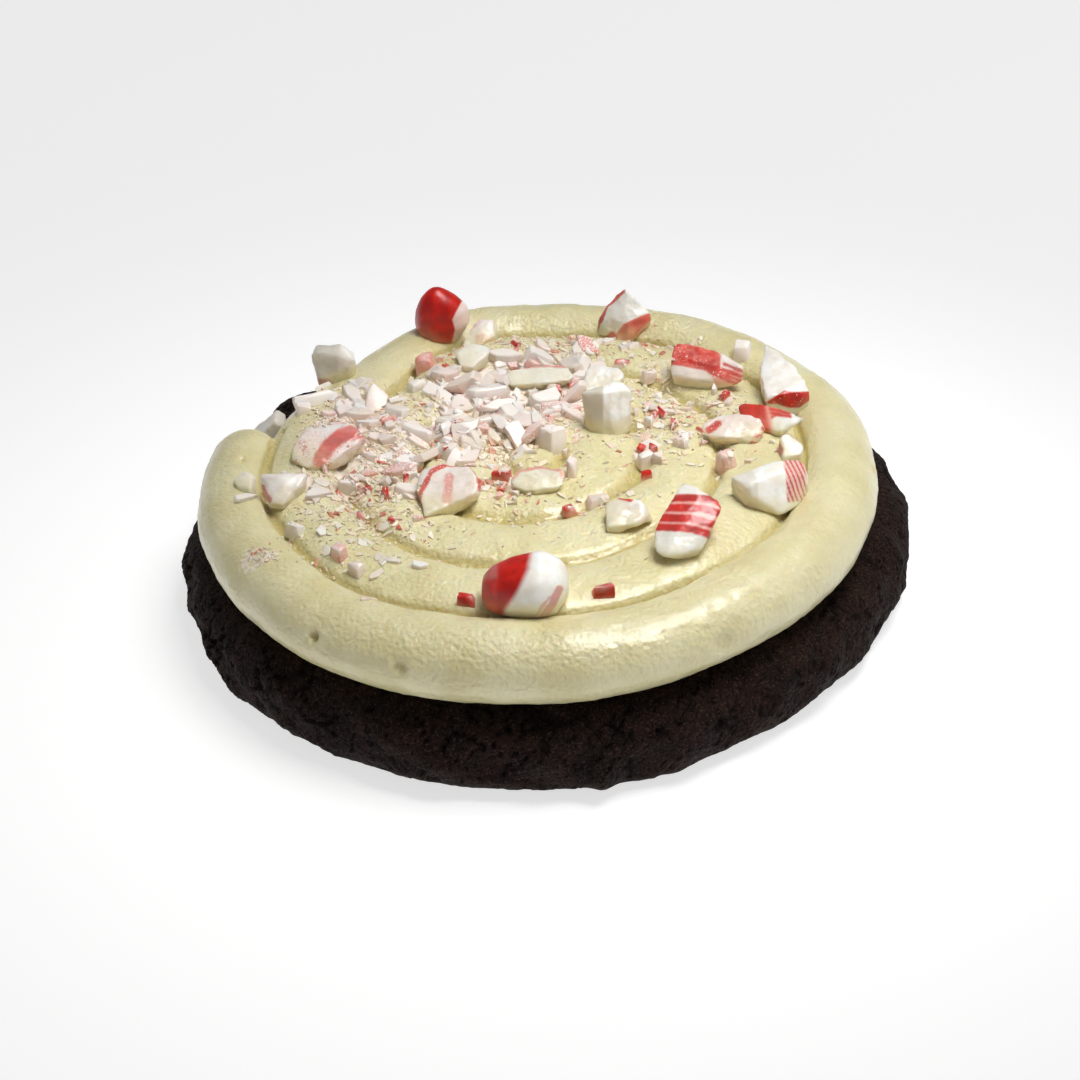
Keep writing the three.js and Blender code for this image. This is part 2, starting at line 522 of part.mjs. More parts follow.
// The crumbs scattered between the larger pieces: seeded draws, none off the frosting or on candy.
function crumbRows(candy, draw) {
  const rows = [];
  const boxes = candy.map((mesh) => new THREE.Box3().setFromObject(mesh));
  const onCandy = (x, y) => boxes.some((box) => {
    const middle = box.getCenter(new THREE.Vector3());
    const size = box.getSize(new THREE.Vector3()).multiplyScalar(CANDY_COVER / 2);
    return Math.abs(x - middle.x) < size.x && Math.abs(y - middle.y) < size.y;
  });
  for (const patch of SCATTER) {
    for (let i = 0; i < patch.count; i++) {
      const x = patch.x + patch.spreadX * (draw() + draw() - 1);
      const y = patch.y + patch.spreadY * (draw() + draw() - 1);
      const long = mix(patch.small, patch.large, draw() ** 2);
      const wide = long * mix(0.45, 0.85, draw());
      const tall = long * mix(0.4, 0.7, draw());
      const turn = 360 * draw();
      const far = Math.hypot(x - SWIRL_X, y - SWIRL_Y) > CRUMB_REACH;
      if (!far && !onCandy(x, y)) rows.push([x, y, long, wide, tall, turn]);
    }
  }
  return rows;
}

function fragmentSolids(candy) {
  const draw = drawer(SCATTER_SEED);
  const crumbs = crumbRows(candy, draw);
  return [
    ...FRAGMENTS.map((row) => toSolid(fragmentGeometry(row, 4, draw))),
    ...crumbs.map((row) => toSolid(fragmentGeometry(row, 3, draw))),
  ];
}

function frostingGeometry(candy) {
  const swirl = [toSolid(coreGeometry()), toSolid(domeGeometry()), toSolid(tailGeometry())];
  const tailEnd = -TAIL_TURN + (TAIL_ROUND * 0.97) / (2 * Math.PI * TURN_RADII[0]);
  swirl.push(toSolid(ropeGeometry(tailEnd, 0.04)));
  for (let turn = 0; turn < LAST_TURN; turn += 0.5) {
    swirl.push(toSolid(ropeGeometry(turn, Math.min(turn + 0.54, LAST_TURN))));
  }
  const pockets = CANDY.map((piece, i) => toSolid(pocketGeometry(piece, candy[i])));
  const whole = joinAll(swirl).add(joinAll(fragmentSolids(candy)));
  return toGeometry(largestBody(whole.subtract(joinAll(pockets))));
}

// The cookie

const cookie = new THREE.Group();

const biscuit = new THREE.Mesh(
  biscuitGeometry(),
  new THREE.MeshStandardMaterial({ color: "#2a1c18", roughness: 0.9, metalness: 0 }),
);
biscuit.name = "biscuit";
cookie.add(biscuit);

const candy = CANDY.map(candyMesh);
const frosting = new THREE.Mesh(
  frostingGeometry(candy),
  new THREE.MeshStandardMaterial({ color: "#e3dba9", roughness: 0.45, metalness: 0 }),
);
frosting.name = "frosting";

const topping = new THREE.Group();
topping.position.x = TOPPING_X;
topping.add(frosting, ...candy);
cookie.add(topping);

export default cookie;
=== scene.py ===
# %% [markdown]
# A peppermint frosted chocolate cookie
#
# The real thing is a thick, dark, crumbly biscuit. Cream frosting was piped on it as one rope that
# starts in the middle, winds outwards and ends in a blunt tail, and broken candy cane was thrown on
# top before the frosting set. This lesson builds the three layers in that order, then the crumbs.
# Everything could be sculpted by hand, but the measured solids already say where each part lies, so
# each solid is replaced by a finer mesh of the same form, worked out from the same few numbers.

# %% Tools and the frame
import math

import bmesh
import bpy
import numpy as np
from mathutils import Matrix, Vector, noise
from mathutils.bvhtree import BVHTree


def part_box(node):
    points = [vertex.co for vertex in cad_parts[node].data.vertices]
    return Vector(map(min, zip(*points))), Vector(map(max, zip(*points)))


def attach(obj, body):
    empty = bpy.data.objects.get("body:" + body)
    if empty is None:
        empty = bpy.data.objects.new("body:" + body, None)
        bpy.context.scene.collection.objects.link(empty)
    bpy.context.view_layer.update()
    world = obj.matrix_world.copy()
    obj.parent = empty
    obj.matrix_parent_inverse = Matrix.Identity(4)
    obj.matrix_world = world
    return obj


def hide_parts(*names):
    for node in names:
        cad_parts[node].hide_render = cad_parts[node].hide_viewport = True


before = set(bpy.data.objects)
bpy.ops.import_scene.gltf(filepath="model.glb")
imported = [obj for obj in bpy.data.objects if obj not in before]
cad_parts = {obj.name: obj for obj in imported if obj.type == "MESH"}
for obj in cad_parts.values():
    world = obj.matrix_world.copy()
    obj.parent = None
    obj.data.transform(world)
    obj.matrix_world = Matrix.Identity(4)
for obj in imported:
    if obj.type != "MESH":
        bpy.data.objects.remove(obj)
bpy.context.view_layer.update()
MM = 0.001
print("solids loaded:", len(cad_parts))

# %% [markdown]
# Meshes are made in millimetres, because the numbers stay easy to read, and are scaled to metres at
# the very end. The helpers below read and write all corners of a mesh at once, which is much faster
# than a loop over its vertices.

# %% Reading and writing corners
def corners_of(mesh):
    flat = np.empty(len(mesh.vertices) * 3, np.float32)
    mesh.vertices.foreach_get("co", flat)
    return flat.reshape(-1, 3).astype(float)


def set_corners(mesh, corners):
    mesh.vertices.foreach_set("co", corners.astype(np.float32).ravel())
    mesh.update()


def normals_of(mesh):
    flat = np.empty(len(mesh.vertices) * 3, np.float32)
    mesh.vertex_normals.foreach_get("vector", flat)
    return flat.reshape(-1, 3).astype(float)


def solid_box(name):
    """The lowest and the highest corner of a measured solid's box, in millimetres."""
    return [np.array(corner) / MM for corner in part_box(name)]


print("the biscuit's solid goes from", *solid_box("biscuit"))

# %% [markdown]
# Every mesh of the cookie is finished in the same way. It is scaled to metres, gets its material,
# and is told which body it rides on and which solids it stands for.

# %% Making a mesh and finishing a piece
def mesh_from(name, corners, faces):
    mesh = bpy.data.meshes.new(name)
    mesh.from_pydata([tuple(corner) for corner in corners], [], faces)
    mesh.update()
    return mesh


def store(mesh, name, values):
    """Keeps one number a corner, which a material can read by this name."""
    attribute = mesh.attributes.new(name, "FLOAT", "POINT")
    attribute.data.foreach_set("value", np.asarray(values, np.float32))


def triangles_in(mesh):
    return sum(len(face.vertices) - 2 for face in mesh.polygons)


def finished(name, mesh, material, slot, *nodes):
    """Turns a mesh in millimetres into a piece of the cookie that stands for the solids named."""
    mesh.transform(Matrix.Scale(MM, 4))
    mesh.shade_smooth()
    mesh.materials.clear()
    mesh.materials.append(material)
    piece = bpy.data.objects.new(name, mesh)
    bpy.context.collection.objects.link(piece)
    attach(piece, "root")
    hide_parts(*nodes)
    return piece


print("the biscuit's solid has", triangles_in(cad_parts["biscuit"].data), "triangles")

# %% [markdown]
# Food is never even. Smooth noise pushes surfaces in and out by a little, and a small generator of
# even draws scatters things in the same way on every run.

# %% Noise and even draws
OCTAVE_SHIFT = 17.3
DRAW_FACTOR = 1664525
DRAW_OFFSET = 1013904223
DRAW_RANGE = 2 ** 32


def noise_at(points, size, octaves=1, shift=0.0):
    """Smooth noise of about -1 to 1 at each point; size is how wide its bumps are, in mm.

    The shift picks another part of the same noise, so that two effects never bump together.
    """
    values = np.zeros(len(points))
    for octave in range(octaves):
        step = 2 ** octave
        spots = points * (step / size) + shift + OCTAVE_SHIFT * octave
        values += np.array([noise.noise(spot) for spot in spots.tolist()]) / step
    return values


def drawer(seed):
    """The same small generator of even draws from 0 to 1 that the solids were scattered with."""
    state = seed

    def draw():
        nonlocal state
        state = (state * DRAW_FACTOR + DRAW_OFFSET) % DRAW_RANGE
        return state / DRAW_RANGE
    return draw


print("the first draw from 1:", drawer(1)())

# %% [markdown]
# Sizes change softly from place to place. One helper steps smoothly from 0 to 1, one mixes two
# sizes, and one adds sine waves, because a hand never keeps a radius or a height quite even.

# %% Soft steps and waves
def rise(value, start, end):
    """0 before start, 1 after end, smooth between."""
    share = np.clip((value - start) / (end - start), 0, 1)
    return share * share * (3 - 2 * share)


def mix(a, b, share):
    return a + (b - a) * share


def with_waves(value, angle, waves):
    """A size with sine waves round the middle; each wave has a height, a count and a start."""
    for height, count, start in waves:
        value = value + height * np.sin(count * angle + start)
    return value


print("rise a quarter of the way:", rise(0.25, 0, 1))

# %% [markdown]
# Some steps are left to one of Blender's modifiers. A voxel skin melts shells that overlap into one
# surface, as soft frosting does by itself. Smoothing rounds what is too sharp.

# %% Modifiers, skins and smoothing
NEIGHBOUR_SHARE = 0.5


def modified(mesh, kind, **settings):
    """The mesh that one of Blender's modifiers makes of this one."""
    holder = bpy.data.objects.new("holder", mesh)
    bpy.context.collection.objects.link(holder)
    modifier = holder.modifiers.new("step", kind)
    for title, value in settings.items():
        setattr(modifier, title, value)
    solved = bpy.context.evaluated_depsgraph_get()
    result = bpy.data.meshes.new_from_object(holder.evaluated_get(solved))
    bpy.data.objects.remove(holder)
    return result


def skinned(mesh, voxel):
    """One skin of even squares round every closed shell of a mesh."""
    return modified(mesh, "REMESH", mode="VOXEL", voxel_size=voxel)


def smoothed(mesh, rounds):
    """Moves each corner part of the way to the middle of its neighbours, some rounds long."""
    ends = np.empty(len(mesh.edges) * 2, np.int32)
    mesh.edges.foreach_get("vertices", ends)
    a, b = ends.reshape(-1, 2).T
    count = np.bincount(ends, minlength=len(mesh.vertices))[:, None]
    corners = corners_of(mesh)
    for _ in range(rounds):
        total = np.zeros_like(corners)
        for axis in range(3):
            total[:, axis] += np.bincount(a, corners[b, axis], len(corners))
            total[:, axis] += np.bincount(b, corners[a, axis], len(corners))
        corners += NEIGHBOUR_SHARE * (total / count - corners)
    set_corners(mesh, corners)


FROSTING_VOXEL = 0.29
CANDY_VOXEL = 0.15
print("voxels in millimetres:", FROSTING_VOXEL, CANDY_VOXEL)

# %% [markdown]
# Effects that several finishes share
#
# Grain, mottling and a dusting of sugar show on more than one of the foods here. Each could be
# wired again in every material. It is simpler to build each once as a node group and to place it
# with its own numbers. Sizes are in metres, so a size of 0.0005 makes bumps half a millimetre wide.

# %% Nodes for groups and materials
def fed(tree, socket, value):
    """Gives a socket a plain number, or joins it to another node's output."""
    if isinstance(value, (int, float)):
        socket.default_value = value
    else:
        tree.links.new(value, socket)


def maths(tree, action, *values):
    """A Math node; each of its values is a number or another node's output."""
    node = tree.nodes.new("ShaderNodeMath")
    node.operation = action
    for socket, value in zip(node.inputs, values):
        fed(tree, socket, value)
    return node.outputs[0]


def noise_node(tree, place, scale, detail, roughness=0.5):
    node = tree.nodes.new("ShaderNodeTexNoise")
    node.inputs["Detail"].default_value = detail
    node.inputs["Roughness"].default_value = roughness
    tree.links.new(place, node.inputs["Vector"])
    tree.links.new(scale, node.inputs["Scale"])
    return node.outputs["Fac"]


def stretched(tree, value, low, high):
    """A Map Range node that spreads low to high over 0 to 1."""
    node = tree.nodes.new("ShaderNodeMapRange")
    node.interpolation_type = "SMOOTHSTEP"
    tree.links.new(value, node.inputs["Value"])
    fed(tree, node.inputs["From Min"], low)
    fed(tree, node.inputs["From Max"], high)
    return node.outputs["Result"]


# %% [markdown]
# Each group takes a place and a size, and all its other inputs are plain numbers too. A noise node
# asks for a scale, which is one divided by the size.

# %% Building a group
def new_group(name, size, outputs, **more_inputs):
    """A group with its inner inputs and outputs, and the scale of a noise of the size given."""
    group = bpy.data.node_groups.new(name, "ShaderNodeTree")
    group.interface.new_socket(name="Place", in_out="INPUT", socket_type="NodeSocketVector")
    for title, value in {"Size": size, **more_inputs}.items():
        socket = group.interface.new_socket(name=title, in_out="INPUT", socket_type="NodeSocketFloat")
        socket.default_value = value
    for title in outputs:
        group.interface.new_socket(name=title, in_out="OUTPUT", socket_type="NodeSocketFloat")
    given = group.nodes.new("NodeGroupInput").outputs
    made = group.nodes.new("NodeGroupOutput").inputs
    return group, given, made, maths(group, "DIVIDE", 1.0, given["Size"])


# %% [markdown]
# Mottling is the slow change of tone in anything baked, whipped or pulled by hand: one noise at the
# size asked for. Grain is the fine crumb of a surface. It comes out as a height for a bump, and
# as a mask of the bump's small pits, for a painted shade there. Peel is the soft unevenness of a wet
# surface, like the skin of an orange, which breaks a shine into small glints.

# %% Mottle, grain and peel
mottle, given, made, scale = new_group("soft_mottle", 0.004, ["Mask"])
cloud = noise_node(mottle, given["Place"], scale, detail=3)
mottle.links.new(stretched(mottle, cloud, low=0.35, high=0.65), made["Mask"])

grain, given, made, scale = new_group("fine_grain", 0.0004, ["Height", "Pits"])
fine = noise_node(grain, given["Place"], scale, detail=4, roughness=0.6)
grain.links.new(fine, made["Height"])
grain.links.new(stretched(grain, fine, low=0.48, high=0.36), made["Pits"])

peel, given, made, scale = new_group("soft_peel", 0.001, ["Height"])
swell = noise_node(peel, given["Place"], scale, detail=1, roughness=0.35)
peel.links.new(swell, made["Height"])
print("groups:", mottle.name, grain.name, peel.name)

# %% [markdown]
# Sugar dust settles in specks, thick where much of it fell. The group compares a fine noise with
# the amount asked for at that spot, so a growing amount turns scattered specks into a closed cover.

# %% Sugar dust
BARE_LEVEL = 0.76
FALL_FOR_AMOUNT = -0.5
SPECK_EDGE = 0.07
dust, given, made, scale = new_group("sugar_dust", 0.0003, ["Mask"], Amount=0.3)
speck = noise_node(dust, given["Place"], scale, detail=2, roughness=0.65)
start = maths(dust, "MULTIPLY_ADD", given["Amount"], FALL_FOR_AMOUNT, BARE_LEVEL)
end = maths(dust, "ADD", start, SPECK_EDGE)
dust.links.new(stretched(dust, speck, start, end), made["Mask"])
print("group:", dust.name)

# %% [markdown]
# The materials below are wired with a few short helpers: place a group, mix two colours by a mask,
# read a stored number, and add a bump. Numbers that hold for a whole surface are set on the
# shader's own sockets.

# %% Wiring helpers
def new_material(name, **values):
    material = bpy.data.materials.new(name)
    material.use_nodes = True
    shader = material.node_tree.nodes["Principled BSDF"]
    for title, value in values.items():
        shader.inputs[title.replace("_", " ")].default_value = value
    place = material.node_tree.nodes.new("ShaderNodeTexCoord").outputs["Object"]
    return material, material.node_tree, shader, place


def placed(tree, group, place, **values):
    """The outputs of a group that is placed in a material with its own values."""
    node = tree.nodes.new("ShaderNodeGroup")
    node.node_tree = group
    tree.links.new(place, node.inputs["Place"])
    for title, value in values.items():
        fed(tree, node.inputs[title], value)
    return node.outputs


def hex_colour(text):
    """A screen colour such as e6dda8 as the linear red, green and blue that shaders use."""
    parts = [int(text[i:i + 2], 16) / 255 for i in (0, 2, 4)]
    return (*[p / 12.92 if p <= 0.04045 else ((p + 0.055) / 1.055) ** 2.4 for p in parts], 1)


def mixed(tree, mask, low, high):
    """Colour low where the mask is 0 and high where it is 1; each is a hex text or an output."""
    node = tree.nodes.new("ShaderNodeMix")
    node.data_type = "RGBA"
    tree.links.new(mask, node.inputs["Factor"])
    for title, colour in (("A", low), ("B", high)):
        socket = [s for s in node.inputs if s.name == title and s.type == "RGBA"][0]
        if isinstance(colour, str):
            socket.default_value = hex_colour(colour)
        else:
            tree.links.new(colour, socket)
    return [s for s in node.outputs if s.type == "RGBA"][0]


def stored(tree, name):
    node = tree.nodes.new("ShaderNodeAttribute")
    node.attribute_name = name
    return node.outputs["Fac"]


def bumped(tree, height, strength, distance, under=None):
    """The normal of a bumpy surface; under is the normal of a coarser bump that it lies on."""
    node = tree.nodes.new("ShaderNodeBump")
    node.inputs["Strength"].default_value = strength
    node.inputs["Distance"].default_value = distance
    tree.links.new(height, node.inputs["Height"])
    if under is not None:
        tree.links.new(under, node.inputs["Normal"])
    return node.outputs["Normal"]


print("cream as a shader sees it:", hex_colour("e8e0b5"))

# %% [markdown]
# The biscuit
#
# The biscuit was cut thick and baked hard: nearly round, with rounded edges, a flat underside, one
# knob at the back left and a few crags along the rim. It could be a sculpted disc. Here rings of
# corners follow the same rounded profile as the solid, closely spaced.

# %% Rim
BISCUIT_RADIUS = 44.9
BISCUIT_TOP = 10.4
RIM_WAVES = [(0.14, 3, 0.6), (0.12, 5, 2.1), (0.1, 11, 4)]
RIM_BUMPS = [  # direction and width in degrees, and how far it stands out
    (0, 11, 0.6), (9, 3, 0.4), (140, 4.5, 2.2), (-63, 5, -0.6), (-44, 5, -0.5), (-84, 1.6, 0.8),
    (-73, 2, 0.4), (-18, 2, 0.3),
]
CRAGS = [(0.22, 17, 5), (0.16, 31, -9), (0.14, 23, 14)]  # depth, count and slant


def rim_radius(angle):
    radius = with_waves(BISCUIT_RADIUS, angle, RIM_WAVES)
    for centre, width, height in RIM_BUMPS:
        away = (np.degrees(angle) - centre + 180) % 360 - 180
        radius += height * np.exp(-((away / width) ** 2))
    return radius


def crag(angle, height):
    """How far the crags stand out of the side; they fade towards the underside and the top."""
    share = height / BISCUIT_TOP
    waves = with_waves(0, angle, [(depth, count, slant * share) for depth, count, slant in CRAGS])
    return 4 * share * (1 - share) * waves


print("rim radius at the knob:", rim_radius(np.array([math.radians(140)])))

# %% [markdown]
# The side is rounded below and above, like a cushion. The profile goes from the middle of the
# underside round the side to the middle of the top, and its rows lie closest where it bends.

# %% Profile
UNDER_EDGE = (3.2, 3.8)  # how far in from the rim and how high the lower rounding goes
SHOULDER = (6.0, 5.6)  # the same for the upper one
UNDER_STEPS = 14
SHOULDER_STEPS = 25
UNDERSIDE_INSETS = (44.8, 36, 26, 16, 9, 5)
STRAIGHT_HEIGHTS = (4.15, 4.5)
TOP_INSETS = (*np.arange(6.4, 12, 0.4), 14, 20, 30, 44.8)


def edge_profile():
    """Inset from the rim and height, from the middle of the underside round to the top."""
    rows = [(inset, 0) for inset in UNDERSIDE_INSETS]
    for q in np.linspace(0, math.pi / 2, UNDER_STEPS):
        rows.append((UNDER_EDGE[0] * (1 - math.sin(q)), UNDER_EDGE[1] * (1 - math.cos(q))))
    rows += [(0, height) for height in STRAIGHT_HEIGHTS]
    for q in np.linspace(0, math.pi / 2, SHOULDER_STEPS):
        rows.append((SHOULDER[0] * (1 - math.cos(q)), BISCUIT_TOP - SHOULDER[1] * (1 - math.sin(q))))
    rows += [(inset, BISCUIT_TOP) for inset in TOP_INSETS]
    return rows


print("rows of the profile:", len(edge_profile()))

# %% [markdown]
# Each row of the profile becomes a ring, and neighbouring rings are joined by four-sided faces. Two
# large faces close the underside and the top, which the frosting hides.

# %% Rings of dough
RIM_STEPS = 840
LEAST_RADIUS = 0.1


def biscuit_mesh():
    angles = np.linspace(0, 2 * math.pi, RIM_STEPS, endpoint=False)
    rings = []
    for inset, height in edge_profile():
        radius = np.maximum(rim_radius(angles) - inset + crag(angles, height), LEAST_RADIUS)
        rings.append(np.stack([radius * np.cos(angles), radius * np.sin(angles),
                               np.full_like(angles, height)], 1))
    corners = np.concatenate(rings)
    corners[:, :2] -= (corners[:, :2].max(0) + corners[:, :2].min(0)) / 2
    faces = [tuple(reversed(range(RIM_STEPS)))]
    for row in range(len(rings) - 1):
        base = row * RIM_STEPS
        for i in range(RIM_STEPS):
            j = (i + 1) % RIM_STEPS
            faces.append((base + i, base + j, base + RIM_STEPS + j, base + RIM_STEPS + i))
    faces.append(tuple(range((len(rings) - 1) * RIM_STEPS, len(rings) * RIM_STEPS)))
    return mesh_from("biscuit", corners, faces)


dough = biscuit_mesh()
print("biscuit corners:", len(dough.vertices))

# %% [markdown]
# The skin of the real biscuit is rough, with pebbly crumbs, cracks between them and small pits.
# Pebbles lie round many scattered points, and where two points are nearly as near as each other
# there is a groove between their pebbles. Cracks are the places where a noise passes through
# nothing, and pits are the highest spots of another. The corners under the frosting and on the
# underside stay where they are.

# %% Crumbs, cracks and pits
CRUMB_EDGE = 0.6
CRUMB_WARP = 0.5  # how far noise moves the crumbs, the larger pebbles and the cracks
COARSE_WARP = 0.9
CRACK_WARP = 0.6
GROOVE_SHADE = 0.3  # how much painted shade a groove or a crack gets, where a pit gets 1
CRACK_SHADE = 0.7
SWELL_DEPTH = 0.32
CRUMB_DEPTH = 0.11
COARSE_DEPTH = 0.12
FINE_DEPTH = 0.07
PIT_DEPTH = 0.3
CRACK_DEPTH = 0.55


def pebbles(points, size, shift=0.0):
    """0 in the cracks between crumbs of this size and up to 1 on them."""
    values = []
    for spot in (points / size + shift).tolist():
        near = noise.voronoi(spot)[0]
        values.append(near[1] - near[0])
    return np.minimum(np.array(values) / CRUMB_EDGE, 1)


points = corners_of(dough)
outward = normals_of(dough)
side = rise(points[:, 2], 0.0, 1.2) * rise(np.hypot(points[:, 0], points[:, 1]), 31, 35)
warp = np.stack([noise_at(points, 1.6, shift=shift) for shift in (3.1, 9.7, 14.2)], 1)
crumbs = pebbles(points + CRUMB_WARP * warp, 1.5)
coarse = pebbles(points + COARSE_WARP * warp, 3.6, 5.5)
pits = rise(noise_at(points, 1.1, 2, 31.0), 0.44, 0.66)
lines = 1 - rise(np.abs(noise_at(points + CRACK_WARP * warp, 3.4, 2, 44.0)), 0.0, 0.1)
cracks = lines * rise(noise_at(points, 6.0, 1, 51.0), 0.0, 0.25)
print("share of the biscuit in pits and cracks:", round(float((pits + cracks).mean()), 3))

# %% Working the crumb into the dough
push = (SWELL_DEPTH * noise_at(points, 6.0, 2, 2.0)
        + CRUMB_DEPTH * (crumbs - 1) + COARSE_DEPTH * (coarse - 1))
push += FINE_DEPTH * noise_at(points, 0.7, 2, 8.0) - PIT_DEPTH * pits - CRACK_DEPTH * cracks
points += outward * (side * push)[:, None]
set_corners(dough, np.clip(points, *solid_box("biscuit")))
# Painted shade: the pits, the grooves between crumbs and the cracks are stored to darken the dough's
# colour there.
groove_and_crack_shade = GROOVE_SHADE * (1 - crumbs) + CRACK_SHADE * cracks
store(dough, "painted_pit_shade", np.clip(pits + groove_and_crack_shade * side, 0, 1))
print("deepest push inwards:", round(float((side * push).min()), 2))

# %% [markdown]
# Dark cocoa dough is a little redder and lighter on the crumbs. A single brown would look like
# plastic, so browns are mixed by mottling and by specks of paler crumb, and a painted shade makes
# the pits, the grooves and the cracks nearly black. The surface is dull, with a faint shine where the
# crumb is smooth.

# %% Cocoa dough
SMOOTH_ROUGHNESS = 0.7
PIT_ROUGHNESS = 0.2  # added in the pits
cocoa, tree, shader, place = new_material("cocoa_dough", Specular_IOR_Level=0.12)
patches = placed(tree, mottle, place, Size=0.003)
crumb = placed(tree, grain, place, Size=0.0005)
pale_crumb = placed(tree, dust, place, Size=0.0003, Amount=0.4)
tone = mixed(tree, patches["Mask"], "1b100b", "291811")
# Painted shade in the small pits of the fine bump.
tone = mixed(tree, crumb["Pits"], tone, "0d0604")
tone = mixed(tree, pale_crumb["Mask"], tone, "46312a")
# Painted shade in the pits, the grooves and the cracks.
tone = mixed(tree, stored(tree, "painted_pit_shade"), tone, "090503")
tree.links.new(tone, shader.inputs["Base Color"])
shine = maths(tree, "MULTIPLY_ADD", crumb["Pits"], PIT_ROUGHNESS, SMOOTH_ROUGHNESS)
tree.links.new(shine, shader.inputs["Roughness"])
relief = bumped(tree, crumb["Height"], strength=1.0, distance=0.0006)
tree.links.new(relief, shader.inputs["Normal"])
biscuit = finished("biscuit_dough", dough, cocoa, "biscuit", "biscuit")
print("made", biscuit.name)

# %% [markdown]
# The frosting
#
# The frosting is one soft rope, laid in turns that touch and sink into each other. The outermost
# turn runs most of the way round at full height, and where it meets its own start every turn steps
# inwards. Modelling each turn as a separate ring would lose that. The rope's centre line, width and
# crest are worked out from how many turns it has made, exactly as in the measured solid.

# %% The rope's numbers
TOPPING_X = -0.6  # the topping sits a little to the left of the biscuit's middle
SWIRL = np.array([-0.5, -2.2])
SWIRL_START_DEG = 97
STEP_SHARE = 0.13  # share of a turn in which the rope steps inwards
DRIFT = 2.6
TAIL_TURN = (164 - 360 - SWIRL_START_DEG) / -360
LAST_TURN = 3.2
TURN_RADII = (36.15, 26.2, 17, 7.8)
TURN_HALF_WIDTHS = (4.7, 6.2, 6.8, 7.2)
TURN_CRESTS = (19.0, 18.5, 18.0, 17.7)
RADIUS_WAVES = [(0.2, 3, 1), (0.12, 8, 0)]
CREST_WAVES = [(0.16, 2, 2), (0.1, 7, 1)]
ROPE_MIDDLE = 14.7  # height of the rope's widest place
ROPE_PRESS = 1.06  # above 1, the rope is pressed flat where it lies on the biscuit
FOOT = BISCUIT_TOP + 0.05  # a hair over the biscuit
TAIL_ROUND = 4.5  # length of the tail's rounded end
TAIL_BLUNTNESS = 2.4
TAIL_LEAST = 0.06
TAIL_CREST = 0.3
print("turns of the rope:", round(LAST_TURN + TAIL_TURN, 2))

# %% [markdown]
# A place on the rope is told by its turn. It is below 0 along the outer roll, from the tail on, 0
# where the rope steps inwards for the first time, and 3.2 where it ends in the middle. Three short
# functions give the rope's direction, radius and crest there, and a fourth tells how full it is,
# which is less over the rounded tail.

# %% The rope at any turn
def turn_value(values, turn):
    """A size of the rope at some turn; it changes over the step at the start of each turn."""
    values = np.asarray(values)
    whole = np.clip(np.floor(turn), 0, len(values) - 2).astype(int)
    return mix(values[whole], values[whole + 1], rise((turn - whole) / STEP_SHARE, 0, 1))


def rope_angle(turn):
    return np.radians(SWIRL_START_DEG + 360 * turn)


def rope_radius(turn):
    share = turn - np.floor(turn)
    drift = np.where(turn < 0, 0, DRIFT * rise(share / STEP_SHARE, 0, 1) * (1 - share))
    return with_waves(turn_value(TURN_RADII, turn) + drift, rope_angle(turn), RADIUS_WAVES)


def rope_crest(turn):
    return with_waves(turn_value(TURN_CRESTS, turn), rope_angle(turn), CREST_WAVES)


def rope_fullness(turn):
    """1 along the rope, less over its rounded tail."""
    from_tail = (turn + TAIL_TURN) * 2 * math.pi * TURN_RADII[0]
    if from_tail >= TAIL_ROUND:
        return 1
    short = 1 - max(from_tail, 0) / TAIL_ROUND
    return math.sqrt(max(1 - short ** TAIL_BLUNTNESS, TAIL_LEAST))


print("radius and crest at the first turns:", [round(float(size(turn)), 1) for turn in (0, 1, 2)
                                               for size in (rope_radius, rope_crest)])

# %% [markdown]
# A ring of corners round the rope at one place is its cross section: an upright oval whose lower
# half is pressed flat on the biscuit. Rings set close together make the skin of the rope.

# %% Rope skin
RING_POINTS = 40
RING_STEP = 0.9  # from ring to ring along the rope
LEAST_RINGS = 10


def rope_ring(turn):
    angle = rope_angle(turn)
    fullness = rope_fullness(turn)
    half_width = turn_value(TURN_HALF_WIDTHS, turn) * fullness
    middle = mix(FOOT, ROPE_MIDDLE, fullness)
    crest = mix(FOOT, rope_crest(turn), mix(TAIL_CREST, 1, fullness))
    q = (np.arange(RING_POINTS) + 0.5) / RING_POINTS * 2 * math.pi
    reach = rope_radius(turn) - half_width * np.cos(q)
    under = np.maximum(middle + (middle - FOOT) * ROPE_PRESS * np.sin(q), FOOT)
    height = np.where(np.sin(q) > 0, middle + (crest - middle) * np.sin(q), under)
    return np.stack([SWIRL[0] + reach * math.cos(angle), SWIRL[1] + reach * math.sin(angle), height], 1)


def tube(rings):
    """Corners and faces of a closed tube through rings of equal length."""
    points = len(rings[0])
    faces = [tuple(range(points))]
    for row in range(len(rings) - 1):
        for i in range(points):
            a = row * points + i
            b = row * points + (i + 1) % points
            faces.append((b, a, a + points, b + points))
    faces.append(tuple(reversed(range((len(rings) - 1) * points, len(rings) * points))))
    return np.concatenate(rings), faces


def rope_tube(start, end):
    length = (end - start) * 2 * math.pi * turn_value(TURN_RADII, max(start, 0))
    steps = max(LEAST_RINGS, round(length / RING_STEP))
    return tube([rope_ring(mix(start, end, i / steps)) for i in range(steps + 1)])


print("corners of the first turn:", len(rope_tube(0, 1)[0]))

# %% [markdown]
# The same numbers give the height of every turn over any point. The highest of them is the surface
# of the frosting there, which tells where the candy lies and, later, where two turns meet.

# %% Frosting height
DOME_RADIUS = 7.5
DOME_CREST = 17.5


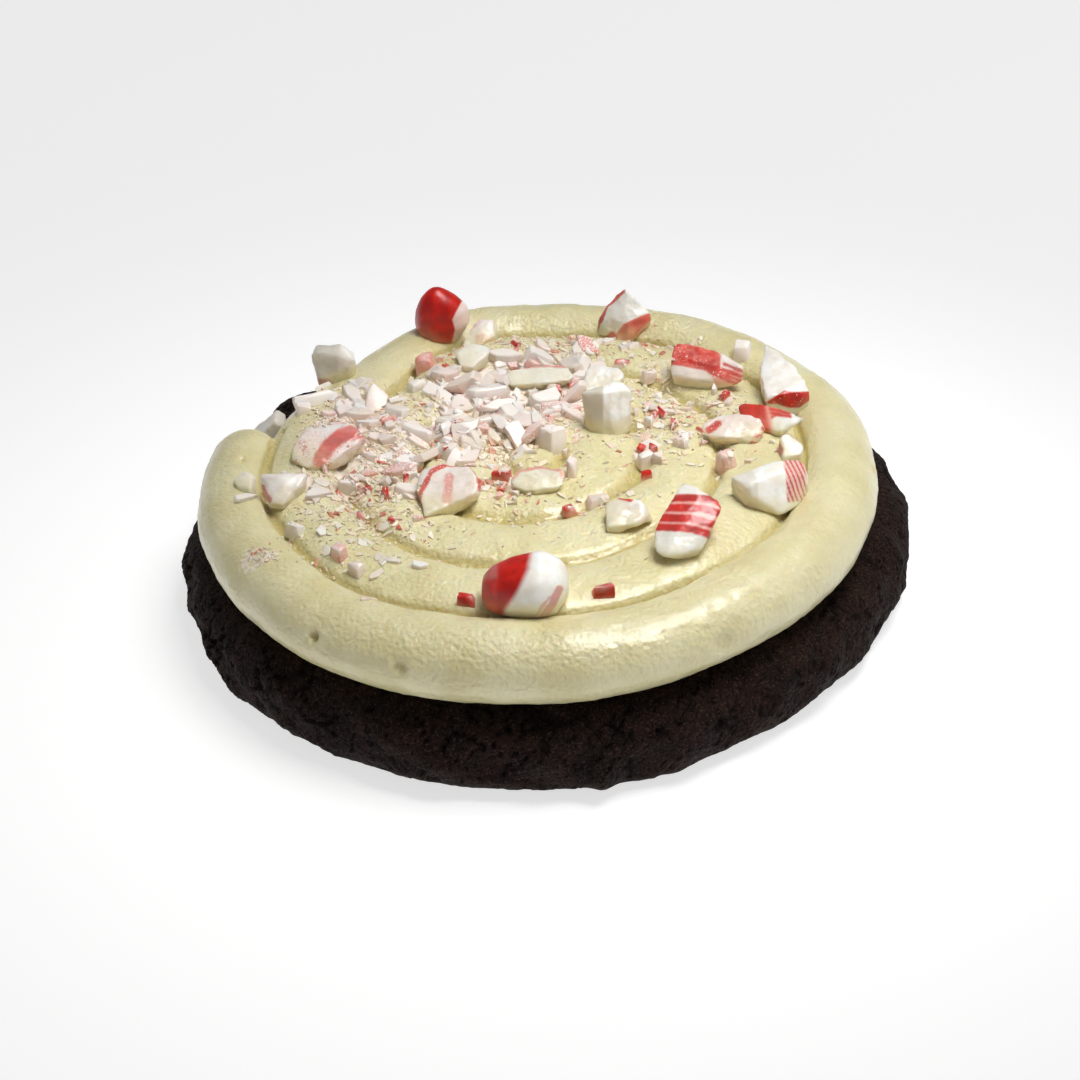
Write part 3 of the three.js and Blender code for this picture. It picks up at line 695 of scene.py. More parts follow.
def rope_tops(x, y):
    """The height of every turn, and of the blob in the middle, over one or many places."""
    radius = np.hypot(x - SWIRL[0], y - SWIRL[1])
    degrees = np.degrees(np.arctan2(y - SWIRL[1], x - SWIRL[0]))
    first = (degrees - SWIRL_START_DEG) % 360 / 360 - 1
    tops = []
    for lap in range(5):
        turn = first + lap
        across = (radius - rope_radius(turn)) / turn_value(TURN_HALF_WIDTHS, turn)
        there = (turn >= -TAIL_TURN) & (turn < LAST_TURN) & (np.abs(across) < 1)
        bulge = (rope_crest(turn) - ROPE_MIDDLE) * np.sqrt(np.clip(1 - across ** 2, 0, 1))
        tops.append(np.where(there, ROPE_MIDDLE + bulge, FOOT))
    in_dome = np.clip(1 - (radius / DOME_RADIUS) ** 2, 0, 1)
    tops.append(FOOT + (DOME_CREST - FOOT) * np.sqrt(in_dome))
    return np.array(tops)


def frosting_top(x, y):
    return float(rope_tops(x, y).max())


print("frosting height in the middle:", round(frosting_top(*SWIRL), 2))

# %% [markdown]
# Two more shells fill the swirl: a low core under all turns, and a dome for the first blob that
# was squeezed out in the middle.

# %% Core and dome
CORE_TOP = 14.8
CORE_RADIUS = 35  # where the outer roll doesn't cover it
CORE_STEPS = 120
DOME_RINGS = 14
DOME_POINTS = 48
DOME_END = math.pi / 2 - 0.05  # just short of the top, so that the last ring isn't one point


def core_radius(share):
    under_tail = 360 * share < 360 * (1 - TAIL_TURN) + TAIL_ROUND * 2
    return rope_radius(share) if under_tail else CORE_RADIUS


def core_tube():
    shares = [i / CORE_STEPS for i in range(CORE_STEPS)]
    rings = []
    for height in (CORE_TOP, FOOT):
        rings.append(np.array([[SWIRL[0] + core_radius(share) * math.cos(rope_angle(share)),
                                SWIRL[1] + core_radius(share) * math.sin(rope_angle(share)), height]
                               for share in shares]))
    return tube(rings)


def dome_tube():
    angles = np.linspace(0, 2 * math.pi, DOME_POINTS, endpoint=False)
    rings = []
    for q in np.linspace(0, DOME_END, DOME_RINGS):
        reach = DOME_RADIUS * math.cos(q)
        height = FOOT + (DOME_CREST - FOOT) * math.sin(q)
        rings.append(np.stack([SWIRL[0] + reach * np.cos(angles), SWIRL[1] + reach * np.sin(angles),
                               np.full(DOME_POINTS, height)], 1))
    return tube(rings[::-1])


print("corners of core and dome:", len(core_tube()[0]), len(dome_tube()[0]))

# %% [markdown]
# The turns, the dome and the core overlap on purpose. One voxel skin joins them, and a little
# smoothing rounds the creases where one turn sinks into the next, as soft frosting flows together.
# The creases stay sharp enough to hold a line of painted shade.

# %% Joining the swirl
TAIL_LAP = 0.02  # the rounded tail is a short tube of its own, which the outer roll laps over
ROLL_START = 0.019
TURN_LAP = 1.02
shells = [rope_tube(-TAIL_TURN, -TAIL_TURN + TAIL_LAP), rope_tube(-TAIL_TURN + ROLL_START, TAIL_LAP)]
shells += [rope_tube(start, min(start + TURN_LAP, LAST_TURN)) for start in (0, 1, 2, 3)]
shells += [core_tube(), dome_tube()]
corners, faces = [], []
for shell_corners, shell_faces in shells:
    base = len(corners)
    corners.extend(shell_corners)
    faces.extend(tuple(base + i for i in face) for face in shell_faces)
cream = skinned(mesh_from("swirl", np.array(corners), faces), FROSTING_VOXEL)
smoothed(cream, 2)
print("frosting corners:", len(cream.vertices))

# %% [markdown]
# Piping leaves its marks. The first is a thin crease where one turn sinks into the next. It lies
# where the two highest turns are equally high, so their difference in height tells how close a
# corner is to one.

# %% Creases between the turns
CREASE_REACH = 0.85
CREASE_DEPTH = 0.75
points = corners_of(cream)
outward = normals_of(cream)
second, highest = np.sort(rope_tops(points[:, 0], points[:, 1]), axis=0)[-2:]
on_top = rise(points[:, 2], 14.0, 15.5)
crease_and_shade = np.exp(-((highest - second) / CREASE_REACH) ** 2) * on_top * rise(second, 14.0, 15.2)
push = -CREASE_DEPTH * crease_and_shade * (0.75 + 0.5 * noise_at(points, 9.0, 1, 60.0))
print("share of the frosting in creases:", round(float(crease_and_shade.mean()), 3))

# %% [markdown]
# The next are slow swells from the hand, fine dimples like orange peel, and drag lines along the
# outer turn, which come from a noise that is stretched round the middle. Inside, where candy fell
# on it, the frosting is rumpled.

# %% Swells, dimples and drag lines
HAND_SWELL_DEPTH = 0.16
RUMPLE_DEPTH = 0.3
DIMPLE_DEPTH = 0.07
FINE_DIMPLE_DEPTH = 0.035
DRAG_DEPTH = 0.035
out_x = points[:, 0] - SWIRL[0]
out_y = points[:, 1] - SWIRL[1]
reach = np.hypot(out_x, out_y)
angle = np.arctan2(out_y, out_x)
inside = 1 - rise(reach, 27, 31)
push += (HAND_SWELL_DEPTH * noise_at(points, 8.0, 2, 4.0)
         + RUMPLE_DEPTH * inside * noise_at(points, 4.5, 2, 6.0))
push += (DIMPLE_DEPTH * noise_at(points, 2.0, 2, 11.0)
         + FINE_DIMPLE_DEPTH * noise_at(points, 0.9, 1, 15.0))
drag = np.stack([reach * 1.5, 6 * np.cos(angle), 6 * np.sin(angle) + points[:, 2] * 1.5], 1)
push += DRAG_DEPTH * noise_at(drag, 1.0, 2, 21.0) * rise(reach, 30.5, 33)
print("corners in the rumpled middle:", int((inside > 0.5).sum()))

# %% [markdown]
# A few air bubbles burst at the surface and left small round hollows.

# %% Burst bubbles
BUBBLES = [  # place, size and depth
    (-25.4, -34.6, 16.4, 0.7, 0.75), (-16.1, -40.0, 16.0, 0.8, 0.5), (-36.2, -2.2, 18.9, 0.45, 0.5),
    (17.3, -38.3, 15.4, 1.2, 0.35), (-33.0, -29.0, 15.0, 0.5, 0.4), (25.0, 27.0, 17.0, 0.6, 0.4),
    (-20.0, 30.5, 15.5, 0.7, 0.5), (38.5, -9.0, 16.5, 0.6, 0.4),
]
hollow = np.zeros(len(points))
for x, y, z, size, depth in BUBBLES:
    away = np.linalg.norm(points - np.array([x - TOPPING_X, y, z]), axis=1) / size
    hollow = np.maximum(hollow, np.exp(-away ** 4) * depth)
push -= hollow
print("bubbles:", len(BUBBLES))

# %% [markdown]
# The candy's dust lies on the frosting in a few patches, and in the left one the frosting was torn
# into crumbs by the pieces that fell there. Each patch is a soft round spot, and noise gives it a
# ragged edge.

# %% Dusty and torn patches
DUSTY = [  # middle, radius across and away, how much
    (-3, 12, 13, 13, 0.75), (-8, 2, 10, 8, 0.6), (-21, 3, 8, 14, 0.75), (18, 14, 6, 5, 0.4),
    (-9, -9, 13, 5, 0.4), (-31.7, -23, 2.6, 2.2, 0.6), (-31, -10, 5, 4, 0.4), (14, -1, 9, 6, 0.3),
    (-20, -15, 8, 9, 0.35), (22, -2, 6, 6, 0.3),
]
TORN = (-24, 1, 7.5, 16)
TORN_DEPTH = 0.3
TORN_FINE_DEPTH = 0.12


def patch_distance(x, y, across, away):
    """0 in the middle of a patch and 1 at its edge."""
    return np.hypot((points[:, 0] - x) / across, (points[:, 1] - y) / away)


ragged = noise_at(points, 2.2, 3, 40.0)
sugar = np.zeros(len(points))
for *patch, amount in DUSTY:
    off = patch_distance(*patch)
    sugar = np.maximum(sugar, amount * (1 - rise(off + 0.25 * ragged, 0.55, 1.15)))
sugar *= on_top
torn = (1 - rise(patch_distance(*TORN) + 0.3 * ragged, 0.6, 1.1)) * on_top
push += torn * (TORN_DEPTH * np.abs(noise_at(points, 1.3, 2, 51.0))
                + TORN_FINE_DEPTH * noise_at(points, 0.6, 1, 53.0))
print("dusty patches:", len(DUSTY))

# %% [markdown]
# All marks are pressed in at once, along the surface's own direction, and fade out at the foot,
# where the frosting lies on the biscuit. Corners are only needed where the surface bends, so flat
# stretches such as the underside are then thinned out until the mesh is light enough to share.

# %% Pressing the marks in and thinning the mesh
MOST_TRIANGLES = 180000
free = rise(points[:, 2], FOOT + 0.1, FOOT + 1.2)
set_corners(cream, points + outward * (free * push)[:, None])
# Painted shade: the creases and the bubble hollows are stored to darken the frosting's colour there.
store(cream, "crease_and_shade", np.clip(crease_and_shade + hollow, 0, 1))
store(cream, "sugar", np.clip(sugar, 0, 1))
cream = modified(cream, "DECIMATE", ratio=min(1, MOST_TRIANGLES / triangles_in(cream)))
print("triangles:", triangles_in(cream))

# %% [markdown]
# Cream frosting is pale yellow, a little deeper where it is thick, and it lets some light in. A
# painted shade darkens it in the creases and the bubble hollows. Its shine is broken into tiny glints by
# the fine unevenness.

# %% Cream frosting
WET_ROUGHNESS = 0.2
FLECK_ROUGHNESS = 0.3  # added where the flecks stand up
SUGAR_ROUGHNESS = 0.25  # added under sugar dust
WET_COAT = 0.5
SUGAR_COAT = -0.3  # taken off under sugar dust
frosting_mix, tree, shader, place = new_material(
    "cream_frosting", Subsurface_Weight=0.3, Subsurface_Scale=0.001,
    Subsurface_Radius=(1.6, 1.1, 0.5), Coat_Roughness=0.16)
swells = placed(tree, mottle, place, Size=0.006)
flecks = placed(tree, grain, place, Size=0.0005)
dimples = placed(tree, peel, place, Size=0.0011)
pores = placed(tree, peel, place, Size=0.0005)
cover = placed(tree, dust, place, Size=0.0005, Amount=stored(tree, "sugar"))
tone = mixed(tree, swells["Mask"], "dfd5a3", "e8e0b5")
# Painted shade in the creases and the bubble hollows.
tone = mixed(tree, stored(tree, "crease_and_shade"), tone, "c8b877")
tone = mixed(tree, cover["Mask"], tone, "f3e6d8")
tree.links.new(tone, shader.inputs["Base Color"])
dull = maths(tree, "MULTIPLY_ADD", cover["Mask"], SUGAR_ROUGHNESS, WET_ROUGHNESS)
shine = maths(tree, "MULTIPLY_ADD", flecks["Height"], FLECK_ROUGHNESS, dull)
tree.links.new(shine, shader.inputs["Roughness"])
wet = maths(tree, "MULTIPLY_ADD", cover["Mask"], SUGAR_COAT, WET_COAT)
tree.links.new(wet, shader.inputs["Coat Weight"])
relief = bumped(tree, dimples["Height"], strength=1.0, distance=0.00018)
relief = bumped(tree, pores["Height"], strength=1.0, distance=0.00021, under=relief)
relief = bumped(tree, flecks["Height"], strength=0.3, distance=0.0001, under=relief)
tree.links.new(relief, shader.inputs["Normal"])
cream.transform(Matrix.Translation((TOPPING_X, 0, 0)))
frosting = finished("piped_frosting", cream, frosting_mix, "frosting", "frosting")
print("made", frosting.name)

# %% [markdown]
# The broken candy
#
# Candy cane breaks like glass: curved outer faces stay smooth and glossy, and the broken faces are
# flat, sharp and a little grainy. A stripe belongs to the sugar and not to the surface, so colours
# are worked out from the place of each corner. The places were measured on each piece as seen from
# the front and above: millimetres to the right of its middle, and millimetres upwards as seen from
# there.

# %% Where a corner lies in its piece
EYE_FORWARD = 171.6  # how far in front of the cookie's middle the eye is
EYE_HEIGHT = 121.6  # and how high
WAVE_WIDTH = 2.6
RAGGED_WIDTH = 0.9


class Spots:
    """The places of one piece's corners, as seen from the front and above, and noise at them."""

    def __init__(self, name, points):
        low, high = solid_box(name)
        middle = (low + high) / 2
        sight = math.atan2(EYE_HEIGHT - middle[2], EYE_FORWARD + middle[1])
        from_middle = points - middle
        self.right = from_middle[:, 0]
        self.seen = from_middle[:, 2] * math.cos(sight) + from_middle[:, 1] * math.sin(sight)
        self.wave = noise_at(points, WAVE_WIDTH, 1, 3.0)
        self.ragged = noise_at(points, RAGGED_WIDTH, 2, 7.0)
        self.none = np.zeros(len(points))


def spots_of_solid(name):
    return Spots(name, corners_of(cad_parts[name].data) / MM)


slab = spots_of_solid("striped_slab")
print("the striped slab is", round(float(np.ptp(slab.right)), 1), "mm wide as seen")

# %% [markdown]
# Four short helpers draw on a piece. Each takes the piece's places and gives a mask: what lies left
# of a line, what lies under one, a stroke along one, and the largest of several masks. Noise makes
# the lines a little wavy, as pulled sugar is.

# %% Lines and strokes on a piece
LINE_WAVE = 0.15
STROKE_RAGGED = 0.1
STROKE_INNER = 0.36  # shares of a stroke's width where it starts and stops to fade
STROKE_OUTER = 0.64
FAR = 99.0


def left_of(p, *places, soft=0.12):
    """1 to the left of a line through these places, which go from the top down."""
    across, seen = np.array(places[::-1]).T
    return 1 - rise(p.right + LINE_WAVE * p.wave - np.interp(p.seen, seen, across), -soft, soft)


def under(p, *places, soft=0.12):
    """1 below a line through these places, which go from left to right."""
    across, seen = np.array(places).T
    return 1 - rise(p.seen + LINE_WAVE * p.wave - np.interp(p.right, across, seen), -soft, soft)


def stroke(p, width, *places):
    """1 on a line of this width through these places, with slightly ragged edges."""
    near = np.full(len(p.right), FAR)
    for (x0, y0), (x1, y1) in zip(places, places[1:]):
        long, tall = x1 - x0, y1 - y0
        share = ((p.right - x0) * long + (p.seen - y0) * tall) / (long ** 2 + tall ** 2)
        share = np.clip(share, 0, 1)
        near = np.minimum(near, np.hypot(p.right - x0 - share * long, p.seen - y0 - share * tall))
    return 1 - rise(near + STROKE_RAGGED * p.ragged, STROKE_INNER * width, STROKE_OUTER * width)


def largest(*masks):
    return np.maximum.reduce(masks)


def red_share(look):
    """The share of a piece's corners that its look makes red, measured on its solid."""
    spots = spots_of_solid(look.__name__)
    return round(float(np.mean(look(spots)[0] + spots.none)), 2)


print("corners left of the slab's middle:", round(float(left_of(slab, (0, 5), (0, -5)).sum())))

# %% [markdown]
# Each piece has its own story of colour: a red cap with a white flank, a slab with four red
# stripes, a block smeared with pink powder. A look is a short function that gives four numbers for
# each corner: how red it is, how pink, how powdery and how clear. Clear sugar is greyer and glassy,
# and on a few faces turned from the light the clear number paints their grey shade.

# %% Looks of the back row
def tall_red_cap(p):
    red = left_of(p, (3.2, 3.8), (3.0, 1.8), (1.5, -0.9), (1.8, -2.3), (1.1, -4.1))
    return red, 0.3 + 0.1 * p.wave, 0.0, 0.0


def pale_chip(p):
    blush = stroke(p, 2.0, (0.4, -0.6), (2.2, -1.4))
    rim = stroke(p, 0.7, (-2.9, -1.5), (-1.6, 0.8), (0.6, 2.4))
    return 0.15 * blush, 0.16 + 0.5 * blush + 0.2 * rim, 0.35, 0.15 * rim


def white_chip(p):
    return p.none, 0.05, 0.35, 0.3 * rise(p.wave, 0.0, 0.4)


def pointed_tooth(p):
    line = stroke(p, 0.55, (-3.8, -2.2), (-2.2, 1.1), (0.1, 2.9))
    low = under(p, (-1.6, -3.2), (-0.2, -1.6), (1.1, -1.0), (3.3, -0.2))
    streak = 0.5 + 0.5 * np.sin(5 * (p.seen - 0.35 * p.right) + 2 * p.wave)
    corner = stroke(p, 1.3, (-2.4, -3.6), (-1.7, -3.0))
    return largest(0.85 * line, low * (0.2 + 0.28 * streak + 0.05 * p.right), 0.9 * corner), low, 0.1, 0.2


def grey_cube(p):
    corner = stroke(p, 2.0, (-3.2, -2.8), (-1.3, -2.7))
    return 0.6 * corner, 0.2 * corner, 0.1, 0.75 - 0.5 * rise(p.right, 0.0, 1.5)


def notch_chip(p):
    return p.none, 0.03, 0.1, 0.55 + 0.3 * p.wave


def lens_slab(p):
    edge = stroke(p, 0.6, (-4.4, 1.8), (0.1, 1.9), (5.2, 1.5))
    return 0.3 * edge, 0.7 * edge, 0.3, 0.35


def white_slab(p):
    return p.none, 0.03, 0.3, 0.15


print("red share of the cap:", red_share(tall_red_cap))

# %% [markdown]
# The pieces on the right lie free of the heap, so their stripes show best. Thin threads of red, as
# on the end of a cane, come from a sine wave across the piece, kept between two lines.

# %% Looks of the right side
def upright_block(p):
    # Painted shade: the left face is greyed by the clear number, as a face turned from the light.
    left = left_of(p, (-0.4, 2.9), (-0.6, -3.7))
    edge = stroke(p, 0.6, (-3.3, 3.1), (-3.0, -3.6))
    foot = 1 - rise(p.seen, -2.6, -1.2)
    streaks = 0.2 * rise(np.sin(5 * p.right + 2 * p.wave), 0.2, 0.8)
    return 0.4 * edge, 0.3 * edge, 0.0, largest(0.8 * left, 0.5 * foot, streaks)


def smeared_slab(p):
    dusty = rise(p.ragged, -0.6, 0.5)
    smear = left_of(p, (1.9, 3.1), (1.6, 0.0)) * (1 - under(p, (-4, 0.9), (-1.4, 0.3), (1.4, -0.5)))
    curve = stroke(p, 0.55, (-2.0, 1.3), (-1.4, 1.0), (-0.2, 0.6), (0.8, 0.2))
    stripes = largest(stroke(p, 0.5, (-0.1, 0), (4.6, -2.6)), stroke(p, 0.5, (1.2, 0.2), (5, -1.5)),
                      stroke(p, 0.4, (0.3, 0.2), (4.8, -2.1)), stroke(p, 0.4, (2.2, 0.6), (5, -0.8)))
    front = (1 - left_of(p, (1.4, 0.2), (0.3, -0.4), (1.2, -2.6))) * under(p, (0, 0.6), (5, -0.6))
    red = largest(smear * (0.35 + 0.45 * dusty), 0.9 * curve, 0.8 * stripes)
    return red, largest(0.95 * smear, 0.8 * front, 0.15 + p.none), 0.22 + 0.25 * p.wave, 0.3


def white_wedge(p):
    top = under(p, (-2.6, -2.6), (-1.8, -2.1), (-0.4, -1.2), (1.2, -1.6), (3.8, -1.6))
    low = under(p, (-1.3, -2.9), (0.2, -3.4), (1.5, -3.6), (3.4, -2.4))
    return top * (1 - low), 0.05, 0.2, 0.2 * rise(p.wave, -0.1, 0.3)


def red_curved_chip(p):
    end = left_of(p, (-0.4, 2.4), (-0.3, -1.4), soft=0.5)
    middle = left_of(p, (2.4, 2.0), (2.3, -0.2), (0.4, -0.4)) * (1 - end)
    middle *= 1 - under(p, (-0.4, -0.2), (0.5, 0.4), (2.4, 0.1))
    threads = 0.5 + 0.5 * np.sin(11 * p.seen + 3 * p.right + 2 * p.ragged)
    return largest(end, middle * (0.4 + 0.5 * threads)), largest(middle, 0.8 * end), 0.05, 0.1


def pink_end_piece(p):
    dabs = largest(stroke(p, 0.8, (-3.9, 1.5), (-2.8, 1.9)), stroke(p, 0.8, (-3.0, 0.4), (-1.8, 1.1)))
    edge = stroke(p, 0.9, (1.9, -1.7), (2.4, -0.9), (3.1, -0.2), (4.1, 1.0))
    scallop = rise(np.sin(6 * p.seen + 2 * p.right), -0.3, 0.3)
    return largest(0.75 * dabs, 0.9 * edge * scallop), 0.2 + 0.6 * largest(dabs, edge), 0.3, 0.2


def small_white_piece(p):
    return 0.85 * stroke(p, 0.5, (-1.8, 2.0), (-1.2, 0.2), (-1.7, -1.7)), 0.05, 0.1, 0.2


def striped_block(p):
    inside = rise(p.right, 1.5, 1.7) * (1 - rise(p.right, 3.9, 4.3)) * rise(p.seen, -1.9, -1.6)
    stripes = rise(np.sin(11.4 * (p.right + 0.35 * p.seen) + 0.6 * p.wave), -0.1, 0.4)
    # Painted shade: the top left face is greyed by the clear number, as a face turned from the light.
    top = left_of(p, (-2.3, 3.2), (-1.8, 0.8), (-1.6, -3.2))
    return 0.85 * inside * stripes, 0.5 * inside, 0.1, 0.45 * top


print("red share of the striped block:", red_share(striped_block))

# %% [markdown]
# At the front lies a slab with four wavy stripes and a round section of cane with a broad red band.
# On the left the pieces are pale and powdery, with thin pink rims where a stripe was broken off.

# %% Looks of the front and the left
STRIPES = (((-3.0, 2.9), (0.3, 2.8), (3.0, 2.4), (3.8, 1.8)),
           ((-3.1, 1.9), (1.4, 1.6), (3.6, 0.8)),
           ((-3.2, 0.8), (0.3, 0.5), (3.4, -0.5)),
           ((-3.3, -0.2), (0.3, -0.6), (2.9, -1.7)))


def striped_slab(p):
    stripes = largest(*[stroke(p, 0.84, *places) for places in STRIPES])
    between = under(p, *STRIPES[0]) * (1 - under(p, *STRIPES[3]))
    left = stroke(p, 0.9, (-1.5, 4.6), (-3.0, 3.2), (-3.4, 0.6))
    crown = stroke(p, 0.5, (-1.5, 4.7), (1.8, 4.5))
    return largest(0.95 * stripes, 0.8 * left, 0.5 * crown), 0.7 * between, 0.0, 0.25 * (1 - between)


def pointed_shard(p):
    low = left_of(p, (0.2, 0.6), (-0.4, -1.6))
    return stroke(p, 0.8, (-1.6, 2.5), (0.2, 1.9)), 0.05, 0.1, 0.2 + 0.35 * low


def round_cane_section(p):
    band_edge = left_of(p, (1.0, 3.9), (0.4, 1.6), (-0.6, -0.2), (-1.9, -2.0), (-2.6, -3.4), soft=0.45)
    end = left_of(p, (-2.6, 4.4), (-2.9, 0.9), (-3.1, -3.4), soft=0.3)
    upper = rise(p.seen, 0.6, 1.2)
    threads = largest(0.5 * stroke(p, 0.8, (3.5, -0.6), (2.6, -2.2), (1.5, -3.6)),
                      0.35 * stroke(p, 0.35, (2.4, -1.4), (1.7, -2.2), (0.8, -3.3)))
    # Painted shade: the upper part of the end face is greyer and less red, as a face turned from the
    # light.
    red = largest(band_edge * (1 - end) + end * (0.95 - 0.2 * upper), threads)
    return red, 0.3 * end + 0.5 * threads, 0.0, 0.5 * end * upper


def pink_facet(p):
    rim = stroke(p, 0.55, (-3.9, -2.3), (-3.4, 0.0), (-1.9, 2.8), (-0.2, 3.5), (2.6, 3.3),
                 (3.6, 2.0), (3.7, 0.3))
    foot = stroke(p, 0.6, (-3.9, -2.3), (-1.9, -2.9))
    streak = stroke(p, 1.1, (0.1, 1.9), (-0.2, -0.7))
    edges = largest(rim, foot)
    return largest(0.8 * edges, 0.12 * streak), 0.1 + 0.5 * largest(edges, streak), 0.3, 0.35


def powdery_block(p):
    crescent = stroke(p, 1.8, (-0.9, -1.2), (0.2, 0.5), (1.4, 1.5), (2.8, 1.9), (4.6, 1.8))
    specks = largest(stroke(p, 0.8, (-3.2, 1.0), (-2.6, -0.3)), rise(p.ragged, 0.4, 0.62))
    top = 1 - under(p, (-3, 2.6), (0.2, 2.2), (2.1, 2.0))
    red = largest(0.6 * crescent, 0.6 * specks)
    return red, 0.35 - 0.25 * top + 0.4 * crescent, 0.55 - 0.4 * crescent, 0.0


def jagged_white_piece(p):
    line = stroke(p, 0.6, (-2.5, 0.7), (-2.1, -0.2), (-1.5, -0.8))
    return 0.6 * line, 0.1 + 0.3 * line, 0.25, 0.3 * rise(p.wave, -0.2, 0.3)


def rim_chip(p):
    return 0.15 * rise(p.ragged, 0.3, 0.6), 0.12, 0.4, 0.1


def curved_chip(p):
    outline = stroke(p, 0.5, (-3.2, 0.5), (-2.0, 1.6), (0.3, 1.9), (2.6, 1.3), (3.1, 0.1))
    return 0.35 * outline, 0.05 + 0.6 * outline, 0.2, 0.45


print("red share of the striped slab:", red_share(striped_slab))

# %% [markdown]
# The pieces come in three kinds. Round ones still are a length of cane or its end. Smooth ones have
# a glossy outer face. Rough ones are broken all round, and they get the most chips and the
# deepest grain.

# %% Kinds of piece
ROUND_PIECES = (tall_red_cap, round_cane_section)
SMOOTH_PIECES = (tall_red_cap, upright_block, round_cane_section, striped_slab, striped_block,
                 red_curved_chip, grey_cube)
ROUGH_PIECES = (pale_chip, white_chip, pointed_tooth, notch_chip, lens_slab, white_slab,
                smeared_slab, white_wedge, pink_end_piece, small_white_piece, pointed_shard,
                pink_facet, powdery_block, jagged_white_piece, rim_chip, curved_chip)


def kind_of_break(look):
    """How many chips break off, how many rounds of smoothing follow, and the grain's depth."""
    if look in ROUND_PIECES:
        return 2, 40, 0.03
    return (4, 14, 0.09) if look in SMOOTH_PIECES else (5, 8, 0.14)


print("smooth and rough pieces:", len(SMOOTH_PIECES), len(ROUGH_PIECES))

# %% [markdown]
# The measured solids already have the right corners. Cutting small planes off the corners, as a
# chip breaks away, makes a plain solid look broken.

# %% Breaking corners off
MERGE_DISTANCE = 0.001
CHIP_TILT = 0.9


def solid_of(name):
    """A bmesh of a measured solid, in millimetres."""
    build = bmesh.new()
    build.from_mesh(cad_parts[name].data)
    bmesh.ops.transform(build, matrix=Matrix.Scale(1 / MM, 4), verts=build.verts)
    bmesh.ops.remove_doubles(build, verts=build.verts, dist=MERGE_DISTANCE)
    return build


def chip(build, draw, depth):
    """Cuts a flat chip off one corner."""
    corners = sorted(build.verts, key=lambda v: (round(v.co.z, 3), round(v.co.x, 3), round(v.co.y, 3)))
    corner = corners[int(draw() * len(corners))].co.copy()
    middle = sum((v.co for v in corners), Vector()) / len(corners)
    outward = (corner - middle).normalized()
    tilt = Vector((draw() - 0.5, draw() - 0.5, draw() - 0.5))
    normal = (outward + CHIP_TILT * tilt).normalized()
    cut = bmesh.ops.bisect_plane(build, geom=build.verts[:] + build.edges[:] + build.faces[:],
                                 plane_co=corner - normal * depth, plane_no=normal, clear_outer=True)
    edges = [item for item in cut["geom_cut"] if isinstance(item, bmesh.types.BMEdge)]
    bmesh.ops.edgeloop_fill(build, edges=edges)


build = solid_of("striped_slab")
print("corners of the slab's solid:", len(build.verts))
build.free()

# %% [markdown]
# The voxel skin then gives a piece corners enough for stripes and grain, and smoothing takes the
# knife edge off, which catches the light as sugar does. Noise roughens the skin, and the piece is
# fitted back into the box of its solid. Low down, where the candy sank into the frosting, a cream
# tint is painted for the frosting's light showing through the sugar, so a fifth number is stored beside
# the four of its look.

# %% Skinning and colouring a piece
CHIP_DEPTHS = (0.1, 0.45)
CREAM_LIGHT_REACH = 2.7
CREAM_LIGHT_SHARE = 0.8
CREAM_LIGHT_WAVE = 0.4  # how far noise moves the edge of the painted cream light
RED_HIDES_CREAM_LIGHT = 0.75  # the painted cream light shows less on red sugar


def creamy(points, reach):
    """1 where a corner of the candy touches the frosting, fading to 0 this far above it."""
    tops = rope_tops(points[:, 0] - TOPPING_X, points[:, 1]).max(0)
    return 1 - rise(points[:, 2] - tops, 0.0, reach)


def grainy(points, outward, seed, depth):
    """The corners of a piece, pushed in and out by broken facets, grain and ridges."""
    ridge = np.abs(noise_at(points, 2.4, 1, seed + 9))
    push = noise_at(points, 1.7, 1, seed) + 0.5 * noise_at(points, 0.6, 2, seed + 5)
    push += 1.2 * noise_at(points, 3.2, 1, seed + 3) - 1.3 * ridge
    return points + outward * (depth * push)[:, None]


def candy_mesh(look, seed):
    name = look.__name__
    chips, rounds, grain_depth = kind_of_break(look)
    build = solid_of(name)
    draw = drawer(seed)
    for _ in range(chips):
        chip(build, draw, mix(*CHIP_DEPTHS, draw()))
    mesh = bpy.data.meshes.new(name)
    build.to_mesh(mesh)
    build.free()
    mesh = skinned(mesh, CANDY_VOXEL)
    smoothed(mesh, rounds)
    points = grainy(corners_of(mesh), normals_of(mesh), seed, grain_depth)
    low, high = solid_box(name)
    size = points.max(0) - points.min(0)
    points = low + (points - points.min(0)) / size * (high - low)
    set_corners(mesh, points)
    spots = Spots(name, points)
    tones = [np.clip(values + spots.none, 0, 1) for values in look(spots)]
    for title, values in zip(("red", "pink", "powder", "clear"), tones):
        store(mesh, title, values)
    # Painted light: a cream tint near the frosting stands for its light showing through the sugar.
    cream_light = CREAM_LIGHT_SHARE * creamy(points + CREAM_LIGHT_WAVE * spots.wave[:, None], CREAM_LIGHT_REACH)
    store(mesh, "cream", cream_light * (1 - RED_HIDES_CREAM_LIGHT * tones[0]))
    return mesh


# The painted cream light fades over this height above the frosting.
print("a smear fades over", CREAM_LIGHT_REACH, "mm")

# %% [markdown]
# Boiled sugar is white because it was pulled full of air, so light goes a little way into it. The
# red stripes are the same sugar with colour. Where a piece was crushed, its face is covered in fine
# white powder, which hides the colour and takes the gloss away. The four finishes differ in how deep
# light goes, because in a crumb smaller than that depth it would come out grey.

# %% Candy finish
POWDER_ROUGHNESS = 0.35
GRIT_ROUGHNESS = 0.16


